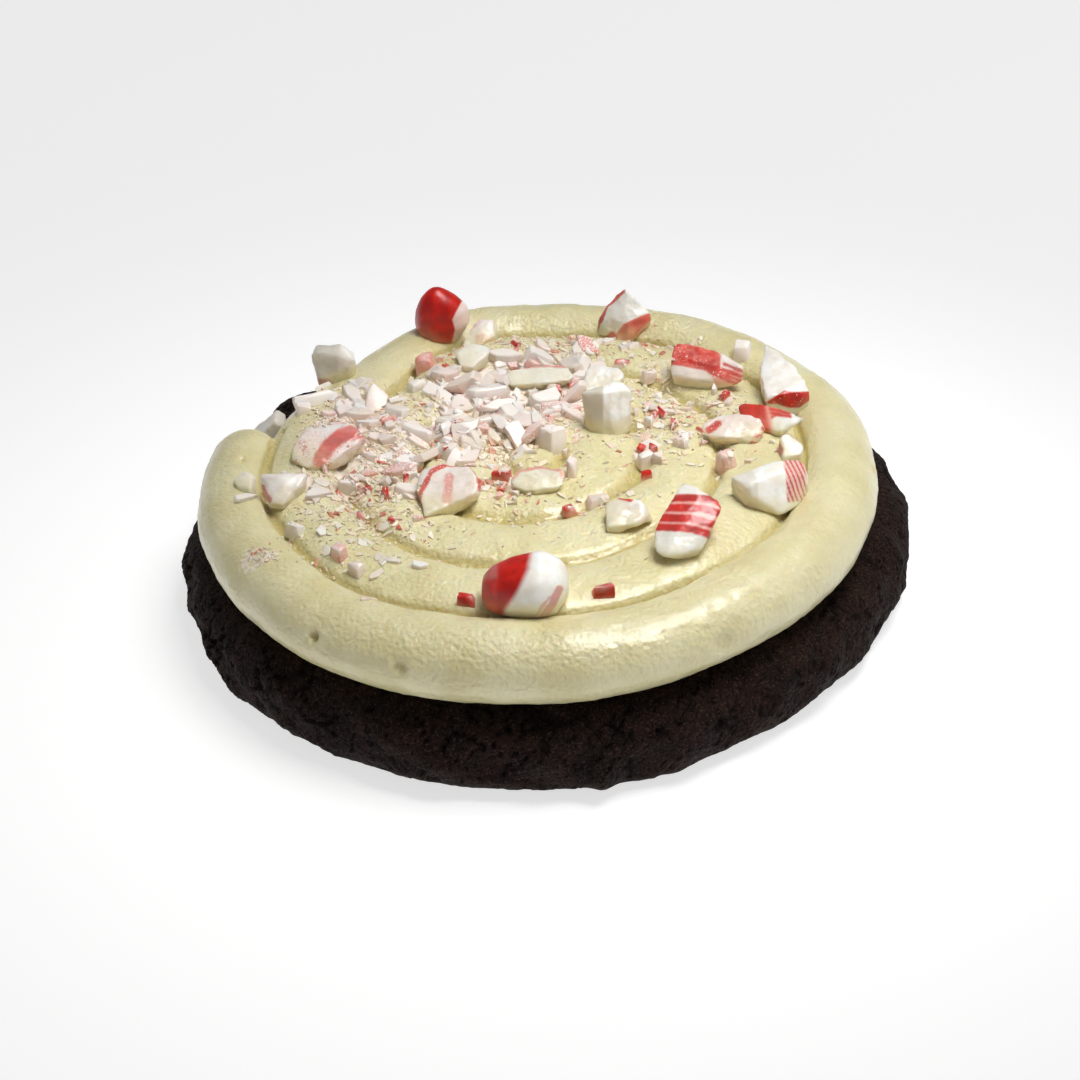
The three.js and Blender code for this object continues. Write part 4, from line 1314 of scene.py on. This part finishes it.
def candy_material(name, depth, share, rough, coat, white, clear):
    """Candy whose colours come from the numbers stored at its corners."""
    material, tree, shader, place = new_material(
        name, Subsurface_Weight=share, Subsurface_Scale=0.001,
        Subsurface_Radius=(depth, 0.8 * depth, 0.65 * depth), IOR=1.5, Coat_Roughness=0.08)
    clouds = placed(tree, mottle, place, Size=0.0014)
    grit = placed(tree, grain, place, Size=0.00035)
    cover = placed(tree, dust, place, Size=0.00024, Amount=stored(tree, "powder"))
    tone = mixed(tree, clouds["Mask"], white, "fdfbf6")
    # The clear number greys the sugar: glassy sugar, and on a few faces a painted shade.
    tone = mixed(tree, stored(tree, "clear"), tone, clear)
    tone = mixed(tree, stored(tree, "pink"), tone, "e88a7a")
    stripe_red = mixed(tree, clouds["Mask"], "b41208", "d31c0e")
    tone = mixed(tree, stored(tree, "red"), tone, stripe_red)
    tone = mixed(tree, cover["Mask"], tone, "f5ebe4")
    # Painted light: the frosting's cream showing through the sugar near its foot.
    tone = mixed(tree, stored(tree, "cream"), tone, "e8ddb0")
    tree.links.new(tone, shader.inputs["Base Color"])
    dull = maths(tree, "MULTIPLY_ADD", cover["Mask"], POWDER_ROUGHNESS, rough)
    dull = maths(tree, "MULTIPLY_ADD", grit["Height"], GRIT_ROUGHNESS, dull)
    tree.links.new(dull, shader.inputs["Roughness"])
    gloss = maths(tree, "MULTIPLY_ADD", cover["Mask"], -coat, coat)
    tree.links.new(gloss, shader.inputs["Coat Weight"])
    relief = bumped(tree, grit["Height"], strength=0.35, distance=0.0001)
    tree.links.new(relief, shader.inputs["Normal"])
    return material


candy = candy_material("boiled_sugar", depth=2.4, share=0.55, rough=0.24, coat=0.2,
                       white="f3eee4", clear="c9c2b2")
flaked = candy_material("flaked_sugar", depth=0.9, share=0.3, rough=0.24, coat=0.25,
                        white="fcf8f2", clear="e8ddd0")
gritty = candy_material("sugar_crumbs", depth=0.5, share=0.15, rough=0.4, coat=0.1,
                        white="f1e1cf", clear="ead9bb")
crushed = candy_material("crushed_sugar", depth=0.5, share=0.15, rough=0.35, coat=0.1,
                         white="f4e8da", clear="e8dcc2")
print("finishes:", candy.name, flaked.name, gritty.name, crushed.name)

# %% [markdown]
# Each piece replaces its own solid.

# %% The pieces of candy
COLOUR_OF_PIECE = {look: slot for slot, looks in {
    "candy_red": (tall_red_cap, smeared_slab, red_curved_chip, striped_slab),
    "candy_pink": (pale_chip, pink_end_piece, pink_facet, powdery_block),
}.items() for look in looks}
FIRST_SEED = 11
SEED_STEP = 7
chunks = []
for number, look in enumerate((*SMOOTH_PIECES, *ROUGH_PIECES)):
    mesh = candy_mesh(look, FIRST_SEED + SEED_STEP * number)
    name = look.__name__
    slot = COLOUR_OF_PIECE.get(look, "candy_white")
    chunks.append(finished("candy_" + name, mesh, candy, slot, name))
print("candy pieces:", len(chunks))

# %% [markdown]
# Fragments
#
# Between the large pieces lie dozens of small fragments that can still be told apart. They belong
# to the frosting's solid, and are made here again from the same places and the same draws, so
# that each colour can be its own mesh. Some are placed one by one, and the others are drawn round
# the middle of a patch.

# %% Fragments placed one by one
FRAGMENTS = [  # plan position, length, width, height, turn, and its colour
    (-14.2, 20.6, 3.4, 3, 3.4, 80, "pink"), (22, -8.2, 2.8, 2.8, 2.5, 20, "pink"),
    (27.2, 17.4, 3, 2.4, 2.6, -20, "white"), (6.6, -13.6, 3.6, 2.6, 1.6, 10, "white"),
    (-4.5, -7, 3.2, 1.6, 1.4, -8, "red"), (1.6, 1, 4.4, 3.4, 3, -50, "white"),
    (3.8, -7.6, 1.5, 3, 3, -10, "white"), (3, -14.8, 2.2, 1.8, 1.2, 30, "red"),
    (6, -32, 3.4, 1.8, 1.6, 3, "red"), (-8.6, -32, 2.4, 1.4, 1.3, -12, "red"),
    (14.6, 3.6, 2.8, 1.1, 1.2, 55, "red"), (16.6, 1, 3, 1.1, 1.2, 85, "red"),
    (12.3, -3, 1.9, 1.2, 1.2, 65, "red"), (12.4, -9.4, 1.8, 1.2, 1.1, 5, "red"),
    (12.6, -5.6, 2.8, 2, 1.7, 25, "white"), (-20.6, -9.2, 2.6, 1, 1.1, -8, "red"),
    (-18, -10.6, 2.8, 1, 1.1, -80, "red"), (-20.8, -14.6, 1.8, 1, 1.1, -70, "red"),
    (-22.6, -22.6, 2.6, 1.8, 2, -50, "pink"), (-20.6, -25.4, 2.4, 1.7, 1.5, -40, "white"),
    (-28, -17, 2.9, 1.7, 1.7, -35, "white"), (-2.2, 23.6, 2.6, 1.1, 1.2, -60, "red"),
    (11.6, 17.6, 2.8, 1.2, 1.2, -5, "red"), (-22.4, 8.2, 2, 1.6, 1.3, 10, "red"),
    (-22.6, -7.6, 3.4, 2, 1.7, -5, "white"), (23.6, 6.6, 2.2, 1.1, 1.1, 50, "red"),
    (17.4, -3, 2.6, 2, 1.5, 80, "white"), (-20.4, 13, 3.8, 2.4, 1.7, 4, "white"),
    (-15, 14.6, 3, 2, 1.6, 30, "white"), (-29.2, 9.6, 2.6, 2, 1.5, 10, "white"),
    (-10.6, 3.2, 5.2, 2.2, 1.7, 8, "pink"), (-4.6, 8.6, 3.6, 3, 1.6, 20, "pink"),
    (-11, -1.6, 3.4, 2.6, 1.6, -30, "white"), (-15.4, -6.6, 3, 1.8, 1.5, 5, "white"),
    (15, 14.4, 2.6, 1.8, 1.5, 15, "white"), (0, 20, 4, 2.6, 1.7, 10, "pink"),
]
print("fragments placed one by one:", len(FRAGMENTS))

# %% [markdown]
# A drawn fragment is left out where it would fall off the frosting or onto a large piece. The same
# helper will spread the flakes and crumbs later on.

# %% Drawing fragments round a patch
PATCHES = [  # middle, spread, how many, smallest and largest length
    (-4, 12, 13, 11, 40, 1.3, 3.2), (-21, -2, 10, 10, 22, 1.2, 2.6),
    (-7, -9, 12, 9, 16, 1.1, 2.4), (18, 3, 13, 13, 16, 1.1, 2.4),
]
FRAGMENT_REACH = 31
CANDY_COVER = 0.8  # share of a large piece's box that counts as covered
WIDTH_SHARES = (0.45, 0.85)
HEIGHT_SHARES = (0.4, 0.7)
CANDY_BOXES = [solid_box(piece.name.removeprefix("candy_")) for piece in chunks]


def on_candy(x, y, margin):
    """Whether a place of the topping lies under one of the larger pieces or close to it."""
    for low, high in CANDY_BOXES:
        off = np.abs(np.array([x + TOPPING_X, y]) - (low + high)[:2] / 2)
        if np.all(off < CANDY_COVER * (high - low)[:2] / 2 + margin):
            return True
    return False


def spread_rows(draw, patches, farthest, clear_of_candy=0):
    """Even draws round each patch; a place off the frosting or on candy is left empty."""
    rows = []
    for x0, y0, spread_x, spread_y, count, small, large in patches:
        for _ in range(count):
            x = x0 + spread_x * (draw() + draw() - 1)
            y = y0 + spread_y * (draw() + draw() - 1)
            long = mix(small, large, draw() ** 2)
            wide = long * mix(*WIDTH_SHARES, draw())
            tall = long * mix(*HEIGHT_SHARES, draw())
            turn = 360 * draw()
            far = math.hypot(x - SWIRL[0], y - SWIRL[1]) > farthest
            if not far and not on_candy(x, y, clear_of_candy * long):
                rows.append((x, y, long, wide, tall, turn))
    return rows


print("places drawn for a trial:", len(spread_rows(drawer(1), PATCHES, FRAGMENT_REACH)))

# %% [markdown]
# A fragment is the hull of a few jittered corners: a ring at its foot and a narrower ring on top.

# %% Corners of a fragment
HULL_REACH = (0.45, 0.68)
HULL_TOP = (0.6, 1)
HULL_FOOT = -0.25  # how deep it sinks in, as a share of its height
TOP_SHARE = 0.75


def turned_corners(corners, degrees):
    c, s = math.cos(math.radians(degrees)), math.sin(math.radians(degrees))
    return [Vector((c * x - s * y, s * x + c * y, z)) for x, y, z in corners]


def hull_corners(row, sides, draw):
    """Jittered corners of one fragment about its own foot."""
    long, wide, tall, turn = row[2:6]
    corners = []
    for up in (0, 1):
        for i in range(sides):
            angle = (i + 0.5) / sides * 2 * math.pi
            reach = mix(*HULL_REACH, draw()) * (TOP_SHARE if up else 1)
            height = mix(*HULL_TOP, draw()) if up else HULL_FOOT
            corners.append((long * reach * math.cos(angle), wide * reach * math.sin(angle),
                            tall * height))
    return turned_corners(corners, turn)


print("corners of a fragment:", len(hull_corners(FRAGMENTS[0], 4, drawer(1))))

# %% [markdown]
# One mesh holds all fragments of a colour, but no two fragments are the same tone. Many white ones
# were broken from just under a stripe, so they are pink along their lower edge. Each fragment gets
# a tone of its own, and the tone shifts towards pink from its top down to its foot.

# %% Piles of fragments
CLOUD_SCALES = (0.9, 2.3)
FINE_CLOUD = 0.6
JITTER = 0.07
JITTER_WIDTH = 0.7
PILE_CREAM_LIGHT = 0.35
PILE_CREAM_LIGHT_REACH = 0.6


class Pile:
    """Fragments of one colour: corners, faces and four tones at each corner."""

    def __init__(self, kind, seed):
        self.kind = kind
        self.draw = drawer(seed)
        self.corners = []
        self.faces = []
        self.tones = []
        self.count = 0

    def tone(self):
        """Red, pink, powder and clear, how pink the foot is and how far down the red reaches."""
        a, b, c, d = (self.draw() for _ in range(4))
        if self.kind == "white":
            return 0, 0.02 + 0.1 * a * a, 0.1 + 0.3 * b, 0.9 * c, 0.5 * d * d, 2
        if self.kind == "pink":
            return 0.5 * a * a, mix(0.25, 0.85, b * b), 0.2 + 0.4 * c, 0.25 * d, 0.3, 2
        return mix(0.8, 1, a), 0.6, 0.25 * b * b, 0, 0.3, 0.3 + 1.2 * c

    def add(self, corners, faces):
        """Adds a closed body; its tone shifts from its top down to its foot."""
        heights = [corner[2] for corner in corners]
        low, high = min(heights), max(heights)
        red, pink, powder, clear, foot, red_end = self.tone()
        base = len(self.corners)
        for corner in corners:
            depth = (high - corner[2]) / (high - low)
            coarse, fine = (noise.noise(Vector(corner) * scale) for scale in CLOUD_SCALES)
            cloud = coarse + FINE_CLOUD * fine
            stays = 1 if depth < red_end else 0
            self.corners.append(corner)
            self.tones.append((stays * red * (1 + cloud), stays * pink * (1 + cloud) + foot * depth,
                               powder, clear))
        self.faces.extend([base + i for i in face] for face in faces)
        self.count += 1

    def add_hull(self, corners, spot, bevel=0):
        """Adds the hull of some corners; with a bevel, its edges are taken off and it is finer."""
        small = bmesh.new()
        for corner in corners:
            small.verts.new(corner + spot)
        hull = bmesh.ops.convex_hull(small, input=small.verts[:])
        inside = [v for v in hull["geom_interior"] if isinstance(v, bmesh.types.BMVert)]
        bmesh.ops.delete(small, geom=inside, context="VERTS")
        if bevel:
            bmesh.ops.bevel(small, geom=small.edges[:], offset=bevel, segments=1, affect="EDGES")
            bmesh.ops.triangulate(small, faces=small.faces[:])
            bmesh.ops.subdivide_edges(small, edges=small.edges[:], cuts=1, use_grid_fill=True)
        small.verts.index_update()
        self.add([v.co[:] for v in small.verts], [[v.index for v in f.verts] for f in small.faces])
        small.free()

    def piece(self, name, material, sharp_from):
        """The pile as a piece of the cookie; edges steeper than sharp_from degrees stay sharp."""
        mesh = mesh_from(name, self.corners, self.faces)
        points = corners_of(mesh)
        jitter = np.stack([noise_at(points, JITTER_WIDTH, shift=shift) for shift in (2.0, 6.0, 10.0)], 1)
        set_corners(mesh, points + JITTER * jitter)
        for title, values in zip(("red", "pink", "powder", "clear"), np.array(self.tones).T):
            store(mesh, title, np.clip(values, 0, 1))
        # Painted light: a cream tint near the frosting, for its light showing through the flakes.
        store(mesh, "cream", PILE_CREAM_LIGHT * creamy(points, PILE_CREAM_LIGHT_REACH))
        made = finished(name + "_" + self.kind, mesh, material, "candy_" + self.kind, "frosting")
        mesh.set_sharp_from_angle(angle=math.radians(sharp_from))
        return made


def three_piles(seed):
    return {kind: Pile(kind, seed + i) for i, kind in enumerate(("white", "pink", "red"))}


def kind_for(value, shares):
    """White below the first share, pink below the second, and red above both."""
    return "white" if value < shares[0] else "pink" if value < shares[1] else "red"


print("piles:", list(three_piles(0)))

# %% [markdown]
# Now the fragments are laid on the frosting. The first generator has to be the one of the solid,
# with the same start, so that the fragments fall in the same places. Colours come from another, so
# that they don't disturb those draws.

# %% Laying the fragments
FRAGMENT_SEED = 2027
COLOUR_SEED = 909
FRAGMENT_SHARES = (0.74, 0.9)
FRAGMENT_SINK = 0.15
FRAGMENT_BEVEL = 0.05
FRAGMENT_SHARP = 38
draw = drawer(FRAGMENT_SEED)
spread = spread_rows(draw, PATCHES, FRAGMENT_REACH)
colour_draw = drawer(COLOUR_SEED)
piles = three_piles(71)
for row in [*FRAGMENTS, *spread]:
    placed_by_hand = len(row) > 6
    x, y, _, wide, tall = row[:5]
    corners = hull_corners(row, 4 if placed_by_hand else 3, draw)
    drawn_kind = kind_for(colour_draw(), FRAGMENT_SHARES)
    kind = row[6] if placed_by_hand else drawn_kind
    spot = Vector((x + TOPPING_X, y, frosting_top(x, y) - FRAGMENT_SINK * tall))
    piles[kind].add_hull(corners, spot, FRAGMENT_BEVEL * min(wide, tall))
for pile in piles.values():
    pile.piece("fragments", flaked, FRAGMENT_SHARP)
print("fragments:", {kind: pile.count for kind, pile in piles.items()})

# %% [markdown]
# Flakes and crumbs
#
# Breaking candy makes far more small flakes and crumbs than large pieces. They pile up in the middle
# and thin out towards the rim. Each is dropped from above on what already lies there, so that none
# hangs in the air: three rays straight down find a small triangle to rest on and its tilt. A tree
# of the scene's faces finds those places quickly.

# %% Finding a place to rest
DROP_HEIGHT = 60


def surface_tree():
    """A search tree of every face of the topping made so far, in millimetres."""
    corners, faces = [], []
    for piece in [o for o in bpy.data.objects if o.type == "MESH" and not o.hide_render]:
        if piece.name == biscuit.name:
            continue
        base = len(corners)
        corners.extend((corners_of(piece.data) / MM).tolist())
        faces.extend(tuple(base + i for i in polygon.vertices) for polygon in piece.data.polygons)
    return BVHTree.FromPolygons(corners, faces)


def resting(tree, x, y, reach):
    """Where a flake comes to rest at a place of the topping, and which way its face then points."""
    hits = []
    for i in range(3):
        angle = 2 * math.pi * i / 3
        start = Vector((x + TOPPING_X + reach * math.cos(angle), y + reach * math.sin(angle), DROP_HEIGHT))
        hit = tree.ray_cast(start, Vector((0, 0, -1)))[0]
        if hit is None:
            return None, None
        hits.append(hit)
    middle = (hits[0] + hits[1] + hits[2]) / 3
    return middle, (hits[1] - hits[0]).cross(hits[2] - hits[0]).normalized()


print("the middle of the heap is at", resting(surface_tree(), 0, 12, 1)[0])

# %% [markdown]
# Flakes split off in thin plates with uneven outlines and slightly rounded edges. Each is a stack of
# rings, wider in the middle of its height than above and below.

# %% A flake
FLAKE_PROFILE = ((0.72, -0.5), (0.95, -0.34), (1, 0.12), (0.93, 0.38), (0.82, 0.46))  # share, height
FLAKE_SLIMNESS = (0.5, 1.05)
FLAKE_THICKNESS = (0.4, 0.75)
FLAKE_REACH = (0.3, 0.64)
FLAKE_JITTER = 0.8
FLAKE_SLANT = 0.12
FLAKE_LIFT = 0.3


def soft_flake(row, sides, draw):
    """Rings of a flat flake about its own foot: an uneven outline with rounded edges."""
    long, wide, tall, turn = row[2:6]
    slim = mix(*FLAKE_SLIMNESS, draw())
    thick = tall * mix(*FLAKE_THICKNESS, draw())
    outline = []
    for i in range(sides):
        angle = (i + FLAKE_JITTER * draw()) / sides * 2 * math.pi + math.radians(turn)
        reach = mix(*FLAKE_REACH, draw())
        outline.append((reach * math.cos(angle), reach * math.sin(angle)))
    outline = np.array(outline)
    along = np.array([math.cos(math.radians(turn)), math.sin(math.radians(turn))])
    across = np.array([-along[1], along[0]])
    lengthwise = (outline @ along)[:, None] * along * long
    outline = lengthwise + (outline @ across)[:, None] * across * slim * wide
    shift = FLAKE_SLANT * long * np.array([draw() - 0.5, draw() - 0.5])
    rings = []
    for share, height in FLAKE_PROFILE:
        flat = outline * share + shift * height
        rings.append(np.column_stack([flat, np.full(sides, thick * (height + FLAKE_LIFT))]))
    return rings[::-1]


print("rings of a flake:", len(soft_flake(FRAGMENTS[0], 6, drawer(1))))

# %% [markdown]
# Shards, grains and crumbs are sharper: the hull of an uneven outline with a slanted broken side.
# The smallest are a little thicker, or they would vanish in the frosting.

# %% A shard
SHARD_SLIMNESS = (0.45, 1.05)
SHARD_THICKNESS = (0.45, 1.0)
SHARD_REACH = (0.42, 0.72)
SHARD_TOP = (0.5, 0.8)
SHARD_FOOT = -0.3
SHARD_JITTER = 0.9
SHARD_SLANT = 0.3
CRUMB_EXTRA = 0.3  # thickness added to the very smallest


def sharp_shard(row, sides, draw):
    """Corners of a thin shard about its own foot: an uneven outline and a slanted broken side."""
    long, wide, tall, turn = row[2:6]
    slim = mix(*SHARD_SLIMNESS, draw())
    thick = tall * mix(*SHARD_THICKNESS, draw() ** 2)
    thick += CRUMB_EXTRA * max(0, 1 - long)
    slant = SHARD_SLANT * thick * (draw() - 0.5)
    corners = []
    for i in range(sides):
        angle = (i + SHARD_JITTER * draw()) / sides * 2 * math.pi
        reach = mix(*SHARD_REACH, draw())
        x, y = long * reach * math.cos(angle), slim * wide * reach * math.sin(angle)
        corners.append((x, y, SHARD_FOOT * thick))
        corners.append((x + slant, y + slant, thick * mix(*SHARD_TOP, draw())))
    return turned_corners(corners, turn)


print("corners of a shard:", len(sharp_shard(FRAGMENTS[0], 5, drawer(1))))

# %% [markdown]
# One function drops everything that is listed for a size. It skips a spot that is too steep, or so
# high that the flake would stand out above the tallest pieces, turns the flake to lie on the slope
# with a little lean of its own, and sorts it by colour.

# %% Scattering one size
HIGHEST = 24.5
STEEPEST = 0.35  # upward part of the slope's direction
CLEARANCE = 0.35
REST_REACH = 0.33
SINK = 0.15
SHARP_FROM = 26


def scattered(name, patches, seed, soft, sides, lean, shares, farthest, material):
    """Drops the rows of some patches on the topping and makes a piece of each colour."""
    draw = drawer(seed)
    tree = surface_tree()
    piles = three_piles(seed + 5)
    for row in spread_rows(draw, patches, farthest, CLEARANCE):
        x, y, long, _, tall, _ = row
        shape = soft_flake(row, sides, draw) if soft else sharp_shard(row, sides, draw)
        kind_draw, lean_draw, way = draw(), draw(), 2 * math.pi * draw()
        spot, normal = resting(tree, x, y, REST_REACH * long)
        if spot is None or normal.z < STEEPEST or spot.z > HIGHEST:
            continue
        axis = Vector((math.cos(way), math.sin(way), 0))
        leaning = Matrix.Rotation(lean * (lean_draw - 0.5), 3, axis)
        placing = Vector((0, 0, 1)).rotation_difference(normal).to_matrix() @ leaning
        pile = piles[kind_for(kind_draw, shares)]
        spot -= normal * SINK * tall
        if soft:
            corners, faces = tube(shape)
            pile.add(corners @ np.array(placing).T + np.array(spot), faces)
        else:
            pile.add_hull([placing @ corner for corner in shape], spot)
    for pile in [pile for pile in piles.values() if pile.count]:
        pile.piece(name, material, SHARP_FROM)
    print(name, {kind: pile.count for kind, pile in piles.items()})


# %% [markdown]
# The patches follow the heap in the middle, the torn stretch on the left and a thin scatter on the
# right. Crumbs and grains go down first and the larger sizes follow, so that the broad plates stay
# in sight on top of the heap, as shaking a pile brings the large pieces up.

# %% Where each size fell
PLATES = [  # middle, spread, how many, smallest and largest length
    (-3, 11, 12, 11, 80, 3.0, 6.4), (-9, 1, 9, 6, 30, 2.8, 5.4), (3, 20, 9, 6, 18, 2.8, 5.0),
    (-23, 10, 7, 8, 26, 2.8, 5.8), (-22, -6, 8, 8, 16, 2.2, 4.4), (14, 0, 8, 8, 8, 2, 3.6),
    (-30, -9, 4.5, 3, 26, 1.8, 4.0), (-19, -31, 0.6, 0.5, 2, 1.6, 2.0), (-16, -25, 3, 4, 7, 1, 2.4),
    (-26.2, -10.8, 1.6, 1.2, 6, 3, 4.2),
]
FLAKES = [
    (-3, 12, 13, 13, 150, 1.3, 3.4), (-8, 3, 11, 9, 60, 1.3, 3.0), (-22, 2, 8, 14, 70, 1.0, 2.8),
    (4, 19, 10, 8, 40, 1.2, 3.2), (16, 6, 10, 11, 30, 1.0, 2.8), (-9, -8, 12, 6, 30, 1.0, 2.6),
    (-20, -14, 10, 11, 24, 0.9, 2.2),
]
SHARDS = [
    (-3, 11, 14, 13, 210, 0.6, 1.8), (-8, 2, 12, 9, 90, 0.6, 1.7), (-22, 2, 8, 15, 220, 0.5, 1.5),
    (-10, -7, 14, 8, 90, 0.6, 1.6), (17, 2, 12, 13, 120, 0.6, 1.7), (18, 16, 10, 9, 60, 0.6, 1.6),
    (-20, -14, 11, 12, 80, 0.5, 1.4), (3, -14, 12, 9, 40, 0.5, 1.4), (5, 22, 12, 6, 60, 0.6, 1.6),
]
CRUMBS = [
    (-3, 11, 15, 14, 700, 0.3, 1.1), (-7, 3, 14, 10, 400, 0.3, 1.0), (-9, -9, 18, 8, 150, 0.3, 0.8),
    (16, 4, 14, 14, 360, 0.3, 0.8), (0, -20, 18, 10, 20, 0.3, 0.6), (2, 22, 18, 8, 400, 0.2, 0.8),
]
GRAINS = [
    (-22, 2, 8, 15, 1500, 0.3, 1.0), (-20, -14, 12, 12, 500, 0.2, 0.7),
    (-31.1, -23, 2.3, 1.9, 70, 0.3, 1.0), (-35.1, -21.4, 0.5, 0.5, 4, 0.5, 0.9),
]
print("patches:", sum(len(rows) for rows in (PLATES, FLAKES, SHARDS, CRUMBS, GRAINS)))

# %% Crumbs first and plates last
SIZES = [  # name, patches, seed, soft or sharp, sides, lean, shares of white and pink, reach, finish
    ("crumbs", CRUMBS, 83, False, 4, 0.7, (0.84, 0.97), 35, gritty),
    ("grains", GRAINS, 97, False, 4, 0.7, (0.93, 0.985), 38, crushed),
    ("shards", SHARDS, 57, False, 5, 0.8, (0.76, 0.92), 34, crushed),
    ("flakes", FLAKES, 41, True, 6, 0.7, (0.77, 0.92), 33, flaked),
    ("plates", PLATES, 29, True, 7, 0.5, (0.86, 0.97), 36, flaked),
]
for size in SIZES:
    scattered(*size)

# %% [markdown]
# Floor
#
# A wide pale floor stands for the plain ground of the picture. It is near white and glows a little,
# so it throws light back under the rim and stays clean behind the cookie.

# %% Floor
FLOOR_SIZE = 3.0
FLOOR_GREY = 0.5
FLOOR_GLOW = 0.68
half = FLOOR_SIZE / 2
floor_mesh = mesh_from("floor", [(-half, -half, 0), (half, -half, 0), (half, half, 0), (-half, half, 0)],
                       [(0, 1, 2, 3)])
floor = bpy.data.objects.new("floor", floor_mesh)
bpy.context.collection.objects.link(floor)
paper = new_material("white_paper", Roughness=0.9, Base_Color=(FLOOR_GREY, FLOOR_GREY, FLOOR_GREY, 1),
                     Emission_Color=(1, 1, 1, 1), Emission_Strength=FLOOR_GLOW)[0]
floor_mesh.materials.append(paper)
print("floor:", floor.name)

# %% [markdown]
# The light comes from above, slightly behind and from the right. A wide soft light overhead and
# another on the right give broad highlights. A small key light hangs close above the right half, so
# it fades towards the left and the far rim, and puts small bright glints on the candy. A dim even
# sky fills the shadows.

# %% Lights
LIT_SPOT = Vector((0.004, -0.006, 0.01))
OPEN_SPREAD = 180
KEY_SPREAD = 60
SKY_STRENGTH = 0.18


def add_light(name, energy, size, where, spread):
    data = bpy.data.lights.new(name, "AREA")
    data.energy = energy
    data.size = size
    data.spread = math.radians(spread)
    lamp = bpy.data.objects.new(name, data)
    lamp.location = where
    lamp.rotation_euler = (LIT_SPOT - Vector(where)).to_track_quat("-Z", "Y").to_euler()
    bpy.context.collection.objects.link(lamp)


add_light("overhead", 0.56, 0.3, (0.2, 0.08, 0.56), OPEN_SPREAD)
add_light("key", 0.034, 0.08, (0.05, -0.02, 0.175), KEY_SPREAD)
add_light("right_side", 0.2, 0.35, (0.55, -0.1, 0.38), OPEN_SPREAD)
world = bpy.data.worlds.new("soft_sky")
world.use_nodes = True
sky = world.node_tree.nodes["Background"].inputs
sky["Color"].default_value = (1, 1, 1, 1)
sky["Strength"].default_value = SKY_STRENGTH
bpy.context.scene.world = world
bpy.context.scene.view_settings.view_transform = "Standard"

# %% [markdown]
# The photograph was taken from close by, about 20 cm away, looking down at about 35 degrees, with
# the camera turned a little. Its field of view is told by its focal length in pixels.

# %% Camera
DISTANCE = 0.200
ELEVATION = math.radians(34.6)
ROLL = math.radians(3.36)
TARGET = Vector((-1.04, -7.0, 8.0)) * MM
SENSOR_WIDTH = 36
FOCAL_PIXELS = 1645
PICTURE_PIXELS = 1080
NEAREST = 0.01
camera_data = bpy.data.cameras.new("camera")
camera_data.sensor_width = SENSOR_WIDTH
camera_data.lens = SENSOR_WIDTH * FOCAL_PIXELS / PICTURE_PIXELS
camera_data.clip_start = NEAREST
camera = bpy.data.objects.new("camera", camera_data)
back = Vector((0, -math.cos(ELEVATION), math.sin(ELEVATION)))
turned = Matrix.Rotation(-ROLL, 4, back) @ back.to_track_quat("Z", "Y").to_matrix().to_4x4()
camera.matrix_world = Matrix.Translation(TARGET + back * DISTANCE) @ turned
bpy.context.collection.objects.link(camera)
bpy.context.scene.camera = camera
print("camera at", tuple(round(v, 4) for v in camera.location))

# %% [markdown]
# The end
#
# The measured solids fix the size of the cookie.

# %% The end
bpy.context.view_layer.update()
